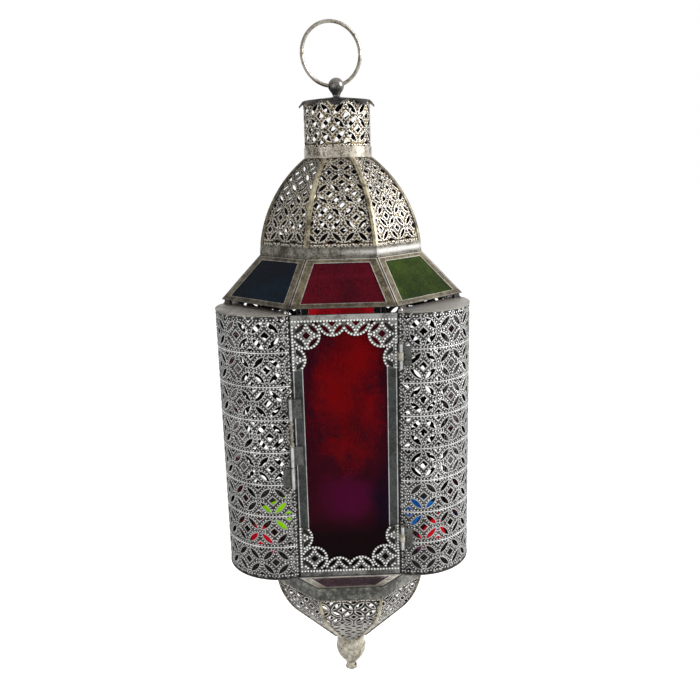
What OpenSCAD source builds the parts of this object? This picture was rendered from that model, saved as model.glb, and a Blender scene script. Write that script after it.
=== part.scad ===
// Hanging candle lantern: an octagonal body of punched sheet and leaded glass, with a glazed door.
// Origin: the point at the top of the hanging ring that rests on the hook. +Z is up, the door faces -Y.
// Levels are worked out downwards from the hook, and the eight sides are turned copies of the front one.

/* [Hanging ring and knob] */
// Radius of the hanging ring, to the middle of its wire
ring_r = 30.3; // [24:0.1:45]
// Turn of the ring and the knob away from the door's direction
ring_turn = 18; // [-90:1:90]
// Lean of the ring to the left, in its own plane, as it hangs in the ball's cross hole
ring_lean = 8; // [0:0.5:10]
// Thickness of the ring's wire
ring_wire_d = 3.6; // [2.5:0.1:4.5]
// Diameter of the ball knob that the ring passes through
ball_d = 16; // [14:0.5:22]
// Play of the wire in the ball's cross hole, on the radius
ring_play = 1.2; // [1.1:0.1:1.8]
// Width of the short neck between the ball and the cap
knob_neck_d = 7.6; // [6.5:0.1:9]
// Height of the short neck, from the ball's underside to the cap
knob_neck_h = 2; // [0.8:0.1:4]
// Diameter of the stud that fastens the knob through the cap
stud_d = 5; // [4:0.1:6]
// Height of the nut under the cap
nut_h = 4; // [3:0.1:6]

/* [Crown cap] */
// Radius of the cap, to the tips of its eight points
cap_r = 38; // [37:0.5:46]
// Fall of the cap from its middle to the edge of the neck
cap_fall = 4.6; // [3:0.1:8]
// Further fall of the bent points
cap_droop = 5.2; // [2:0.1:8]
// Radius of the scallops that are cut between the points
scallop_r = 36; // [30:1:60]

/* [Neck] */
// Outer radius of the punched neck
neck_r = 33.3; // [30:0.1:36]
// Height of the punched neck
neck_h = 53.5; // [45:0.5:80]
// Height of the plain band round the foot of the neck
neck_band_h = 9.4; // [6:0.1:14]
// Number of pattern circles round the neck
neck_circles = 8; // [6:1:10]
// Turn of the neck's pattern round the neck
neck_turn = 13.9; // [-22:0.1:22]

/* [Dome] */
// Across the flats of the dome at its foot
dome_flats = 160; // [140:1:180]
// Height of the dome
dome_h = 93; // [80:0.5:110]
// Radius of the outward bow of the dome's panels
dome_bow_r = 125.7; // [110:0.5:220]
// Height of the plain band round the dome's foot
dome_band_h = 10.5; // [6:0.1:16]
// Width of the ribs over the dome's edges
rib_w = 5; // [3:0.1:7]
// Thickness of the ribs and bands that lie on the sheet
strap_t = 1; // [0.6:0.1:1.5]

/* [Roof and skirt] */
// Height of the glazed roof
roof_h = 41; // [30:0.5:60]
// Height of the glazed skirt under the body
skirt_h = 36.3; // [25:0.1:60]
// Open gap between the roof's eaves and the body
eaves_gap = 4.4; // [2:0.1:8]
// Width of the lead bars at the sides of the roof and skirt panes
hip_bar_w = 8.7; // [6:0.1:12]
// Width of the lead bars above and below the roof and skirt panes
rail_w = 5.6; // [4:0.1:9]

/* [Body] */
// Across the flats of the body
body_flats = 240; // [215:1:270]
// How far the punched corner wings bow out beyond the straight side of the octagon
wing_bow = 31; // [20:0.5:32]
// Number of punched strips that make up a wing
strips = 8; // [6:1:9]
// Height of one punched strip
strip_h = 32.3; // [30:0.1:36]
// Plain hem at the top and bottom of a wing
wing_hem = 1.5; // [1:0.1:4]
// Diameter of the wire posts inside the corners
post_d = 4; // [3:0.1:6]
// Thickness of the flat plates that close the wings and carry the body
plate_t = 1.2; // [0.8:0.1:2]
// Width of the octagonal base ring
base_ring_w = 14; // [8:0.5:16]

/* [Glazed panels and door] */
// Width of the upright bars at the sides of the door and the side panels
stile_w = 9.9; // [7:0.1:13]
// Thickness of the lead bars
came_t = 3.2; // [2.9:0.1:4.5]
// Thickness of the glass
glass_t = 2; // [1.5:0.1:2.2]
// How far the glass goes into the bars
glass_seat = 2.6; // [1.5:0.1:3.2]
// Clear gap on each side of the door
door_gap = 1.1; // [0.8:0.1:1.6]
// Clear gap above the base ring, under the door
door_sill_gap = 0.6; // [0.4:0.1:1.5]

/* [Door lace] */
// Radius of the lace's circles
lace_r = 13.2; // [11.5:0.1:14]
// Height of the plain band along the lace
lace_band_h = 6; // [4.5:0.1:8]
// Length of the lace's legs down the door
lace_leg = 52; // [50:0.5:60]

/* [Hinges and bolt] */
// Outer diameter of the hinge knuckles and the bolt's tubes
tube_d = 5; // [4.6:0.1:5.6]
// Diameter of the hinge pins and of the bolt
pin_d = 2.8; // [2.4:0.1:3]
// Running clearance of pins in their tubes, on the radius
pin_play = 0.08; // [0.03:0.01:0.1]
// Height of a hinge
hinge_h = 23.2; // [20:0.1:30]
// Height of the hinges' middles above the bottom of the body, and below its top
hinge_inset = 40; // [30:0.5:60]
// Length of each tube of the bolt
bolt_tube_h = 20.4; // [16:0.1:24]
// Travel of the bolt
bolt_travel = 23; // [21:0.1:26]
// Height of the bolt's lower end above the bottom of the body
bolt_foot = 95; // [70:0.5:130]

/* [Bowl and finial] */
// Depth of the punched bowl below the skirt
bowl_h = 105.5; // [95:0.5:120]
// Radius of the outward bow of the bowl's panels
bowl_bow_r = 92; // [88:0.5:140]
// Height of the plain band round the bowl's rim
bowl_band_h = 15; // [8:0.1:18]
// Width of the ribs over the bowl's seams
bowl_rib_w = 3.6; // [2.5:0.1:6]
// Height of the finial
finial_h = 47; // [40:0.5:70]
// Greatest radius of the finial
finial_r = 17.3; // [15:0.1:20]

/* [Candle tray and cup] */
// Thickness of the tray
tray_t = 1.2; // [0.8:0.1:2]
// Outer diameter of the candle cup
cup_d = 62; // [40:1:80]
// Height of the candle cup
cup_h = 16; // [10:0.5:30]

/* [Punched pattern] */
// Thickness of the punched sheet
sheet_t = 0.8; // [0.6:0.1:1.2]
// Distance between the middles of the pattern's circles
circle_pitch = 29.2; // [28:0.1:30]
// Distance between the middles of the circles on the dome and the bowl
fine_pitch = 24.6; // [24:0.1:28]
// Sideways shift of the pattern on the dome's and the bowl's panels
dome_shift = -10; // [-12:0.1:12]
bowl_shift = 2.8; // [-12:0.1:12]
// Width of the web between a wing's circle and the holes beside it
web = 1.9; // [1.7:0.1:2.6]
// Width of the same web on the neck, the dome and the bowl
fine_web = 1.6; // [1.5:0.1:2]
// Plain border beside a post, a rib or a band
border = 3; // [2.5:0.1:5]

/* [Hidden] */
$fn = 72;
SIDES = ["s", "se", "e", "ne", "n", "nw", "w", "sw"];

// Clearances and small common sizes
seat_gap = 0.1;                  // between pieces that are seated on each other
solder_gap = 0.2;                // between edges that a seam of solder joins
over = 0.5;                      // how far cutting shapes run past what they cut
mitre_lap = 0.3;                 // overlap of a rib's two halves over an edge
edge_land = 1.4;                 // sheet left between a hole and the edge of its panel
half_side = tan(22.5);           // half the side of an octagon whose flats are 1 from its axis
eighth = 45;                     // angle from one side of the octagon to the next

// Hanging ring and knob
wire_r = ring_wire_d / 2;
ball_r = ball_d / 2;
cross_hole_r = wire_r + ring_play;
hole_half = sqrt(pow(ball_r, 2) - pow(cross_hole_r, 2));
wire_sag = ring_r - sqrt(pow(ring_r, 2) - pow(hole_half, 2));
ring_to_ball = ring_r + ring_play - wire_sag - seat_gap;
ring_aside = ring_to_ball * sin(ring_lean);
z_ring = -sqrt(pow(ring_r - wire_r, 2) - pow(ring_aside, 2));
z_ball = z_ring - ring_to_ball * cos(ring_lean);
stud_r = stud_d / 2;

// Levels of the top, from the cap down to the eaves
z_cap = z_ball - ball_r - knob_neck_h;
cap_edge_r = neck_r + strap_t;
cap_slope = cap_fall / cap_edge_r;
z_neck_top = z_cap - sheet_t - cap_slope * neck_r - seat_gap;
z_neck_foot = z_neck_top - neck_h;
z_dome_top = z_neck_foot - strap_t;
z_dome_foot = z_dome_top - dome_h;
z_eaves = z_dome_foot - roof_h;

// Levels of the body and what hangs under it
body_h = strips * strip_h + 2 * wing_hem;
z_plate_top = z_eaves - eaves_gap;
z_body_top = z_plate_top - plate_t;
z_body_foot = z_body_top - body_h;
z_skirt_top = z_body_foot - plate_t;
z_skirt_foot = z_skirt_top - skirt_h;
z_bowl_foot = z_skirt_foot - bowl_h;

// Distances of the flats from the axis
body_a = body_flats / 2;
dome_a = dome_flats / 2;
roof_top_a = dome_a + strap_t + solder_gap;
dome_top_a = neck_r - strap_t;

// Wings: arcs between the corners of the octagon, named by their centre and radius
corner_x = body_a * half_side + solder_gap;
wing_chord = (body_a - corner_x) * sqrt(2);
wing_r = (pow(wing_chord / 2, 2) + pow(wing_bow, 2)) / (2 * wing_bow);
wing_c = ((body_a + corner_x) / sqrt(2) + wing_bow - wing_r) / sqrt(2);
wing_start = asin((corner_x - wing_c) / wing_r);
wing_end = 90 - wing_start;
wing_arc = (wing_end - wing_start) * PI / 180 * wing_r;
plate_lip = 8;                   // how far the wing plates reach inside the octagon's side
post_r = post_d / 2;
post_track_r = wing_r - sheet_t - post_r - seat_gap;
post_turn = (post_r + seat_gap) / post_track_r * 180 / PI;

// Door and side panels
panel_w = corner_x - solder_gap;
door_w = corner_x - door_gap;
door_foot = z_body_foot + door_sill_gap;
door_top = z_body_top - seat_gap;
door_h = door_top - door_foot;
pane_t = glass_t;
lace_y = -body_a - sheet_t;

// Hinges and bolt, on one line in front of the gap beside the door
tube_r = tube_d / 2;
pin_r = pin_d / 2;
tube_bore_r = pin_r + pin_play;
tube_x = corner_x + 1.7;
tube_y = -body_a - tube_r - 1.2;
knuckle_gap = 0.3;
knuckle_h = (hinge_h - 2 * knuckle_gap) / 3;
leaf_t = 1;
leaf_w = 10;
strip_lip_t = 0.4;               // how far the lap between two strips stands out of a wing
leaf_r = wing_r + strip_lip_t + seat_gap;
z_hinges = [z_body_foot + hinge_inset, z_body_top - hinge_inset];
z_keeper = z_body_foot + bolt_foot;
tab_h = 3;
tube_step = 1.2;
z_guide_low = z_keeper + bolt_tube_h + tube_step;
z_tab = z_guide_low + bolt_tube_h + seat_gap;
z_guide_high = z_tab + tab_h + bolt_travel + seat_gap;
bolt_len = z_guide_high + bolt_tube_h - z_keeper - 1;

// Punched pattern
fine_r = fine_pitch / 2;
coarse_r = circle_pitch / 2;
neck_cell = PI * neck_r / neck_circles;

// ---------- Common shapes ----------

// Turns its children to side number i, counted from the door round by the right
module on_side(i) {
    rotate([0, 0, i * eighth]) children();
}

module on_every_side() {
    for (i = [0:7]) on_side(i) children();
}

// One eighth of the plan, from z0 to z1, cut short of its neighbours by a seam
module wedge(z0, z1, seam = seat_gap / 2) {
    far = body_flats;
    reach = far * half_side;
    translate([0, -seam / sin(22.5), z0])
        linear_extrude(z1 - z0) polygon([[0, 0], [-reach, -far], [reach, -far]]);
}

// A flat octagonal slab whose flats face the sides
module octagon(a, h) {
    linear_extrude(h) rotate(22.5) circle(r = a / cos(22.5), $fn = 8);
}

// A profile drawn as [distance from the axis, height], pulled straight along one side of the octagon
module pull_along_side(width) {
    rotate([90, 0, -90]) linear_extrude(width, center = true) children();
}

// Puts a flat drawing on the front facet between two edges: x along the edge, y up the facet, z outwards
module on_facet(a_low, z_low, a_high, z_high) {
    translate([0, -a_low, z_low]) rotate([atan2(z_high - z_low, a_low - a_high), 0, 0]) children();
}

// Trapezium of a facet with its half widths below and above, inset at the sides and at the ends
module trapezium(low, high, length, side_in, end_in) {
    lean = atan2(low - high, length);
    fall = (high - low) / length;
    inset = side_in / cos(lean);
    w0 = low + fall * end_in - inset;
    w1 = high - fall * end_in - inset;
    polygon([[-w0, end_in], [w0, end_in], [w1, length - end_in], [-w1, length - end_in]]);
}

// Bar frame of a pane in the local frame of its facet, with the groove that holds the glass
module came_frame(low, high, length, side_w, end_w, out) {
    groove_t = pane_t + 2 * seat_gap;
    difference() {
        translate([0, 0, -came_t]) linear_extrude(came_t)
            trapezium(low, high, length, -out, -out);
        translate([0, 0, -came_t - over]) linear_extrude(came_t + 2 * over)
            trapezium(low, high, length, side_w, end_w);
        translate([0, 0, -(came_t + groove_t) / 2]) linear_extrude(groove_t)
            trapezium(low, high, length, side_w - glass_seat - seat_gap, end_w - glass_seat - seat_gap);
    }
}

module came_pane(low, high, length, side_w, end_w) {
    translate([0, 0, -(came_t + pane_t) / 2]) linear_extrude(pane_t)
        trapezium(low, high, length, side_w - glass_seat, end_w - glass_seat);
}

// ---------- Punched pattern: overlapping circles on a square grid of step r ----------

// Leaf hole between two overlapping circles, leaning one way or the other
module leaf(r, lean, w) {
    intersection() {
        translate([-r / 2, -lean * r / 2]) circle(r - w);
        translate([r / 2, lean * r / 2]) circle(r - w);
    }
}

// Diamond hole in the middle of a circle
function diamond_half(r) = 0.29 * r;

module diamond(r) {
    d = diamond_half(r);
    polygon([[-d, 0], [0, -d], [d, 0], [0, d]]);
}

// Half a diamond, with its flat side on the border of a strip
module half_diamond(half_w, h) {
    polygon([[-half_w, 0], [half_w, 0], [0, h]]);
}

// The leaf for the grid square whose lower left corner is number [i, j]; circles stand where i + j is even
function leaf_lean(i, j) = (i + j) % 2 == 0 ? 1 : -1;

// Whether enough of a hole that reaches r to each side of x shows on a panel of this half width
function shows(x, r, half) = abs(x) - r < half - edge_land - 1.5;

// Cuts a hole at x short of its panel's edges: the panel's half width is given at reach below and above
module trimmed(x, reach, below, above) {
    low = below - edge_land;
    high = above - edge_land;
    intersection() {
        children();
        translate([-x, 0])
            polygon([[-low, -reach], [low, -reach], [high, reach], [-high, reach]]);
    }
}

// ---------- Hanging ring, knob and cap ----------

module hanging_ring() {
    color([0.86, 0.86, 0.84]) rotate([0, 0, ring_turn]) translate([-ring_aside, 0, z_ring])
        rotate([90, 0, 0]) rotate_extrude() translate([ring_r, 0]) circle(wire_r);
}

module ball_knob() {
    color([0.45, 0.43, 0.4]) translate([0, 0, z_ball]) difference() {
        union() {
            sphere(ball_r);
            translate([0, 0, z_cap - z_ball]) cylinder(r = knob_neck_d / 2, h = ball_r);
            translate([0, 0, z_cap - z_ball + knob_neck_h * 0.6])
                cylinder(r1 = knob_neck_d / 2, r2 = ball_r * 0.78, h = ball_r * 0.55);
            translate([0, 0, z_cap - z_ball - sheet_t - nut_h - 2]) cylinder(r = stud_r, h = ball_r);
        }
        rotate([0, 90 - ring_lean, ring_turn]) cylinder(r = cross_hole_r, h = 2 * ball_d, center = true);
    }
}

module knob_nut() {
    under_cap = z_cap - sheet_t - cap_slope * (stud_d + 1) - seat_gap;
    color([0.55, 0.53, 0.5]) translate([0, 0, under_cap - nut_h]) difference() {
        cylinder(r = stud_d, h = nut_h, $fn = 6);
        translate([0, 0, -over]) cylinder(r = stud_r + seat_gap / 2, h = nut_h + 2 * over);
    }
}

// A shallow cone with a bent rim, trimmed to eight points
module crown_cap() {
    hole_r = stud_r + seat_gap;
    color([0.5, 0.49, 0.47]) translate([0, 0, z_cap]) intersection() {
        rotate_extrude() polygon([
            [hole_r, -cap_slope * hole_r],
            [cap_edge_r, -cap_fall],
            [cap_r + over, -cap_fall - cap_droop],
            [cap_r + over - sheet_t, -cap_fall - cap_droop - sheet_t],
            [cap_edge_r - sheet_t / 2, -cap_fall - sheet_t],
            [hole_r, -cap_slope * hole_r - sheet_t]
        ]);
        translate([0, 0, -cap_fall - 2 * cap_droop]) linear_extrude(cap_fall + 3 * cap_droop)
            difference() {
                circle(cap_r);
                for (i = [0:7]) rotate(22.5 + i * eighth)
                    translate([cap_edge_r + scallop_r, 0]) circle(scallop_r);
            }
    }
}

// ---------- Neck ----------

module neck_punch(turn, z) {
    rotate([0, 0, turn]) translate([0, -neck_r + 2 * sheet_t, z]) rotate([90, 0, 0])
        linear_extrude(3 * sheet_t) children();
}

module neck_screen() {
    r = neck_cell;
    step = 180 / neck_circles;
    low = neck_band_h + border;
    rows = floor((neck_h - low - 1) / r);
    color([0.62, 0.6, 0.56]) translate([0, 0, z_neck_foot]) rotate([0, 0, neck_turn]) difference() {
        cylinder(r = neck_r, h = neck_h);
        translate([0, 0, -over]) cylinder(r = neck_r - sheet_t, h = neck_h + 2 * over);
        for (j = [0:rows - 1], i = [0:2 * neck_circles - 1])
            neck_punch((i + 0.5) * step, low + (j + 0.5) * r) leaf(r, leaf_lean(i, j), fine_web);
        for (j = [1:rows - 1], i = [0:2 * neck_circles - 1])
            if ((i + j) % 2 == 0) neck_punch(i * step, low + j * r) diamond(r);
        for (i = [0:2:2 * neck_circles - 1])
            neck_punch(i * step, low) half_diamond(0.45 * r, 0.29 * r);
    }
}

// Band round the neck's foot, with the flange that the neck stands on
module neck_band() {
    in_r = neck_r + seat_gap / 2;
    color([0.58, 0.56, 0.52]) translate([0, 0, z_neck_foot]) union() {
        difference() {
            cylinder(r = in_r + strap_t, h = neck_band_h);
            cylinder(r = in_r, h = 3 * neck_band_h, center = true);
        }
        translate([0, 0, -strap_t]) difference() {
            cylinder(r = in_r + strap_t, h = strap_t);
            cylinder(r = neck_r - 4, h = 3 * strap_t, center = true);
        }
    }
}

// ---------- Dome ----------

// The bow's centre, from the middle of the chord between foot and top, as [distance, height]
function bow_centre(a0, z0, a1, z1, r) =
    let (half = norm([a1 - a0, z1 - z0]) / 2)
    let (away = sqrt(pow(r, 2) - pow(half, 2)))
    [(a0 + a1) / 2 - away * (z1 - z0) / (2 * half), (z0 + z1) / 2 + away * (a1 - a0) / (2 * half)];

dome_centre = bow_centre(dome_a, z_dome_foot, dome_top_a, z_dome_top, dome_bow_r);

// Bowed skin of the front gore, from depth t_in inside the surface to t_out outside, between two levels
module dome_skin(t_in, t_out, z0, z1, seam) {
    intersection() {
        wedge(z0, z1, seam);
        pull_along_side(dome_flats) translate(dome_centre) difference() {
            circle(dome_bow_r + t_out, $fn = 180);
            circle(dome_bow_r - t_in, $fn = 180);
        }
    }
}

// Places a hole on the dome's bow: turn is the angle above the level of the bow's centre
module dome_punch(x, turn) {
    translate([0, -dome_centre[0], dome_centre[1]]) rotate([-turn, 0, 0])
        translate([x, -dome_bow_r + 2 * sheet_t, 0]) rotate([90, 0, 0])
            linear_extrude(4 * sheet_t) children();
}

// Half width of the dome's front side at an angle of the bow
function dome_half(turn) = half_side * (dome_centre[0] + dome_bow_r * cos(turn));

// A hole of the dome's pattern that reaches out to each side of x, trimmed at the gore's edges
module dome_hole(x, turn, step, out) {
    if (shows(x, out, dome_half(turn)))
        dome_punch(x, turn)
            trimmed(x, fine_r, dome_half(turn - step), dome_half(turn + step)) children();
}

module dome_panel() {
    r = fine_r;
    step = r / dome_bow_r * 180 / PI;
    low = asin((z_dome_foot + dome_band_h + border - dome_centre[1]) / dome_bow_r);
    high = asin((z_dome_top - border - dome_centre[1]) / dome_bow_r);
    rows = floor((high - low) / step);
    difference() {
        dome_skin(sheet_t, 0, z_dome_foot, z_dome_top, seat_gap / 2);
        for (j = [0:rows - 1], i = [-4:4])
            dome_hole(dome_shift + (i + 0.5) * r, low + (j + 0.5) * step, step, r / 3)
                leaf(r, leaf_lean(i, j), fine_web);
        for (j = [1:rows], i = [-4:4])
            if ((i + j) % 2 == 0)
                dome_hole(dome_shift + i * r, low + j * step, step, diamond_half(r)) diamond(r);
        for (i = [-4:2:4])
            dome_hole(dome_shift + i * r, low, step, r / 2) half_diamond(r / 2, 0.3 * r);
    }
}

module dome_panels() {
    color([0.6, 0.58, 0.54]) on_every_side() dome_panel();
}

// Strips that cover the dome's eight edges
module dome_ribs() {
    z0 = z_dome_foot + dome_band_h + solder_gap;
    color([0.72, 0.68, 0.6]) on_every_side() rotate([0, 0, eighth / 2]) intersection() {
        union() {
            rotate([0, 0, -eighth / 2]) dome_skin(-seat_gap, strap_t + seat_gap, z0, z_dome_top, -mitre_lap);
            rotate([0, 0, eighth / 2]) dome_skin(-seat_gap, strap_t + seat_gap, z0, z_dome_top, -mitre_lap);
        }
        translate([-rib_w / 2, -dome_flats, z0]) cube([rib_w, dome_flats, dome_h]);
    }
}

// All that lies inside eight bows of one radius about a centre, between two levels
module bow_core(centre, r, z0, z1) {
    intersection_for(i = [0:7]) on_side(i) intersection() {
        pull_along_side(2 * dome_flats) translate(centre) circle(r, $fn = 180);
        translate([-dome_flats, -dome_flats, z0]) cube([2 * dome_flats, 2 * dome_flats, z1 - z0]);
    }
}

// Strap round the eight bows, seated on the gores
module bow_band(centre, r, z0, z1) {
    difference() {
        bow_core(centre, r + strap_t + seat_gap, z0, z1);
        bow_core(centre, r + seat_gap, z0 - over, z1 + over);
    }
}

module dome_band() {
    color([0.56, 0.54, 0.5]) bow_band(dome_centre, dome_bow_r, z_dome_foot, z_dome_foot + dome_band_h);
}

// ---------- Roof ----------

roof_slope_len = norm([body_a - roof_top_a, roof_h]);

module on_roof() {
    on_facet(body_a, z_eaves, roof_top_a, z_dome_foot) children();
}

module roof_frames() {
    color([0.55, 0.52, 0.46]) on_every_side() intersection() {
        wedge(z_eaves, z_dome_foot);
        on_roof() came_frame(body_a * half_side, roof_top_a * half_side, roof_slope_len,
            hip_bar_w, rail_w, came_t * 2);
    }
}

module roof_pane(i) {
    on_side(i) on_roof() came_pane(body_a * half_side, roof_top_a * half_side, roof_slope_len,
        hip_bar_w, rail_w);
}

ROOF_COLOURS = ["#7b1020", "#2c4a1c", "#7b1020", "#1c3f70", "#6a1060", "#2c4a1c", "#7b1020", "#1c2f40"];

// Tabs of solder that hold the roof on the wings' top plates
module roof_tabs() {
    tab_w = 8;
    tab_t = 3;
    color([0.8, 0.8, 0.78]) for (i = [1:2:7], s = [-1, 1]) on_side(i)
        translate([s * (body_a * half_side - tab_w) - tab_w / 2, -body_a + 0.6, z_plate_top])
            cube([tab_w, tab_t, eaves_gap]);
}

// ---------- Wings ----------

// Turns a hole or a strip about the axis of the wing's arc
module on_wing(turn, z) {
    translate([wing_c, -wing_c, z]) rotate([0, 0, turn]) children();
}

// Upright arc band on the wing, from depth t_in inside its face to t_out outside
module wing_skin(t_in, t_out, z0, z1) {
    translate([wing_c, -wing_c, z0])
        rotate([0, 0, wing_start - 90]) rotate_extrude(angle = wing_end - wing_start)
            translate([wing_r - t_in, 0]) square([t_in + t_out, z1 - z0]);
}

module wing_punch(s, z) {
    on_wing(wing_start + s / wing_r * 180 / PI, z) translate([0, -wing_r + 2 * sheet_t, 0])
        rotate([90, 0, 0]) linear_extrude(4 * sheet_t) children();
}

// A hole that reaches out to each side of s, trimmed clear of the wing's posts
module strip_hole(s, z, out) {
    edge = border + 1;
    if (s - out > edge - 2 && s + out < wing_arc - edge + 2)
        wing_punch(s, z) intersection() {
            children();
            translate([edge - s, -coarse_r]) square([wing_arc - 2 * edge, 2 * coarse_r]);
        }
}

// Holes of one strip: s runs along the arc from the edge beside the door, z is the strip's middle
module strip_holes(z) {
    r = coarse_r;
    first = 22.8;
    for (i = [-2:8], j = [-1, 1])
        strip_hole(first + (i + 0.5) * r, z + j * r / 2, r / 3) leaf(r, i % 2 == 0 ? j : -j, web);
    for (i = [-2:8])
        if (i % 2 == 0)
            strip_hole(first + i * r, z, diamond_half(r)) diamond(r);
        else for (j = [-1, 1])
            strip_hole(first + i * r, z + j * (r - 0.4), r / 3) half_diamond(r / 3, -j * 0.23 * r);
}

module wing_screen() {
    lip_h = 1.6;
    difference() {
        union() {
            wing_skin(sheet_t, 0, z_body_foot, z_body_top);
            for (k = [1:strips - 1])
                wing_skin(sheet_t / 2, strip_lip_t, z_body_foot + wing_hem + k * strip_h - lip_h / 2,
                    z_body_foot + wing_hem + k * strip_h + lip_h / 2);
        }
        for (k = [0:strips - 1]) strip_holes(z_body_foot + wing_hem + (k + 0.5) * strip_h);
    }
}

module wing_screen_se() { color([0.62, 0.6, 0.56]) wing_screen(); }
module wing_screen_nw() { color([0.62, 0.6, 0.56]) rotate([0, 0, 180]) wing_screen(); }
module wing_screen_sw() { color([0.62, 0.6, 0.56]) mirror([1, 0, 0]) wing_screen(); }
module wing_screen_ne() { color([0.62, 0.6, 0.56]) mirror([0, 1, 0]) wing_screen(); }

// Flat plate that closes a wing: from inside the octagon's side out to the wing's face
module wing_plate(out, inside) {
    lip_a = (body_a + corner_x) / sqrt(2) - inside;
    linear_extrude(plate_t) intersection() {
        translate([wing_c, -wing_c]) circle(wing_r + out);
        translate([corner_x, -2 * body_a + -corner_x]) square([2 * body_a, 2 * body_a]);
        rotate(eighth) translate([-body_a, -3 * body_a - lip_a]) square([2 * body_a, 3 * body_a]);
    }
}

module on_wings() {
    for (i = [0:3]) rotate([0, 0, i * 90]) children();
}

module wing_top_plates() {
    color([0.48, 0.47, 0.45]) on_wings() translate([0, 0, z_body_top]) wing_plate(0.5, plate_lip);
}

module wing_base_plates() {
    color([0.48, 0.47, 0.45]) on_wings() translate([0, 0, z_skirt_top]) wing_plate(0.5, -seat_gap);
}

// Wire posts inside the wings' edges, standing on the base ring under the wings' top plates
module corner_posts() {
    color([0.5, 0.48, 0.45]) on_wings() for (turn = [wing_start + post_turn, wing_end - post_turn])
        on_wing(turn, z_body_foot) translate([0, -post_track_r, 0]) cylinder(r = post_r, h = body_h);
}

module base_ring() {
    color([0.45, 0.44, 0.42]) translate([0, 0, z_skirt_top]) difference() {
        octagon(body_a, plate_t);
        translate([0, 0, -over]) octagon(body_a - base_ring_w, plate_t + 2 * over);
    }
}

// ---------- Glazed side panels and door ----------

module on_upright(z) {
    on_facet(body_a, z, body_a, z + body_h) children();
}

module side_frames() {
    color([0.56, 0.54, 0.5]) for (i = [2, 4, 6]) on_side(i)
        on_upright(z_body_foot) came_frame(panel_w, panel_w, body_h, stile_w, rail_w, 0);
}

module side_pane(i) {
    on_side(i) on_upright(z_body_foot) came_pane(panel_w, panel_w, body_h, stile_w, rail_w);
}

module side_pane_e() { color("#8c0a12") side_pane(2); }
module side_pane_n() { color("#8c0a12") side_pane(4); }
module side_pane_w() { color("#8c0a12") side_pane(6); }

module door_frame() {
    color([0.56, 0.54, 0.5]) on_upright(door_foot) came_frame(door_w, door_w, door_h, stile_w, rail_w, 0);
}

module door_pane() {
    color("#7a0808") on_upright(door_foot) came_pane(door_w, door_w, door_h, stile_w, rail_w);
}

// Centres of the lace's circles, from the door's top corner: inwards and down
lace_corner = [lace_r + 1, lace_band_h + lace_r - 0.5];
lace_side = [0.4, lace_corner[1] + sqrt(pow(2 * lace_r, 2) - pow(lace_corner[0] - 0.4, 2))];
lace_top = [lace_corner[0] + sqrt(pow(2 * lace_r, 2) - pow(lace_corner[1] - lace_band_h - 1, 2)),
    lace_band_h + 1];

// One pierced circle of the lace: leaf holes all round and a diamond in the middle
module lace_holes() {
    for (a = [45:90:315]) rotate(a) translate([lace_r * 0.66, 0]) intersection() {
        translate([-lace_r * 0.72, 0]) circle(lace_r * 0.86);
        translate([lace_r * 0.72, 0]) circle(lace_r * 0.86);
    }
    diamond(lace_r);
}

// Outline of half the lace from the corner, before it is mirrored: x inwards from the side, y down
module lace_half() {
    intersection() {
        difference() {
            union() {
                square([door_w, lace_band_h]);
                square([border + 1, lace_leg]);
                square([lace_corner[0], lace_corner[1]]);
                translate(lace_corner) circle(lace_r);
                translate(lace_side) circle(lace_r);
                translate(lace_top) circle(lace_r);
            }
            translate(lace_corner) lace_holes();
            intersection() {
                translate(lace_side) lace_holes();
                translate([border + 1, 0]) square([door_w, lace_leg]);
            }
            intersection() {
                translate(lace_top) lace_holes();
                translate([0, lace_band_h]) square([door_w, lace_leg]);
            }
        }
        square([door_w, lace_leg]);
    }
}

module lace(top) {
    side = top ? -1 : 1;
    edge_z = top ? door_top : door_foot;
    translate([0, -body_a, edge_z]) rotate([90, 0, 0]) linear_extrude(sheet_t)
        for (s = [-1, 1]) scale([s, side]) translate([-door_w, 0]) lace_half();
}

module door_lace_top() { color([0.75, 0.73, 0.68]) lace(true); }
module door_lace_bottom() { color([0.75, 0.73, 0.68]) lace(false); }

// ---------- Hinges ----------

module tube(x, z, h) {
    translate([x, tube_y, z]) difference() {
        cylinder(r = tube_r, h = h);
        translate([0, 0, -over]) cylinder(r = tube_bore_r, h = h + 2 * over);
    }
}

// Clears a plate out of a tube's bore
module bored(x, z, h) {
    difference() {
        children();
        translate([x, tube_y, z - over]) cylinder(r = tube_bore_r, h = h + 2 * over);
    }
}

// Leaf that lies on a wing, rolled to its bow, from the tube's middle outwards
module wing_leaf(z, h) {
    leaf_start = asin((tube_x - wing_c) / leaf_r);
    translate([wing_c, -wing_c, z]) rotate([0, 0, leaf_start - 90])
        rotate_extrude(angle = leaf_w / leaf_r * 180 / PI)
            translate([leaf_r, 0]) square([leaf_t, h]);
}

// Middle knuckles, each with a strap that runs back between the door and the wing
module door_knuckles() {
    strap = 0.6;
    back = 4;
    color([0.7, 0.68, 0.6]) for (z = z_hinges) translate([0, 0, z - knuckle_h / 2]) union() {
        tube(tube_x, 0, knuckle_h);
        bored(tube_x, 0, knuckle_h)
            translate([door_w + seat_gap / 2, tube_y + 1, 0])
                cube([strap, -body_a + back - tube_y - 1, knuckle_h]);
    }
}

// Outer knuckles with the leaf that is soldered on the wing
module hinge_leaves() {
    color([0.6, 0.58, 0.54]) for (z = z_hinges) translate([0, 0, z - hinge_h / 2]) difference() {
        union() {
            tube(tube_x, 0, hinge_h);
            bored(tube_x, 0, hinge_h) wing_leaf(2, hinge_h - 4);
        }
        translate([tube_x - tube_d, tube_y - tube_d, knuckle_h])
            cube([2 * tube_d - 1, 2 * tube_d, hinge_h - 2 * knuckle_h]);
    }
}

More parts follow.
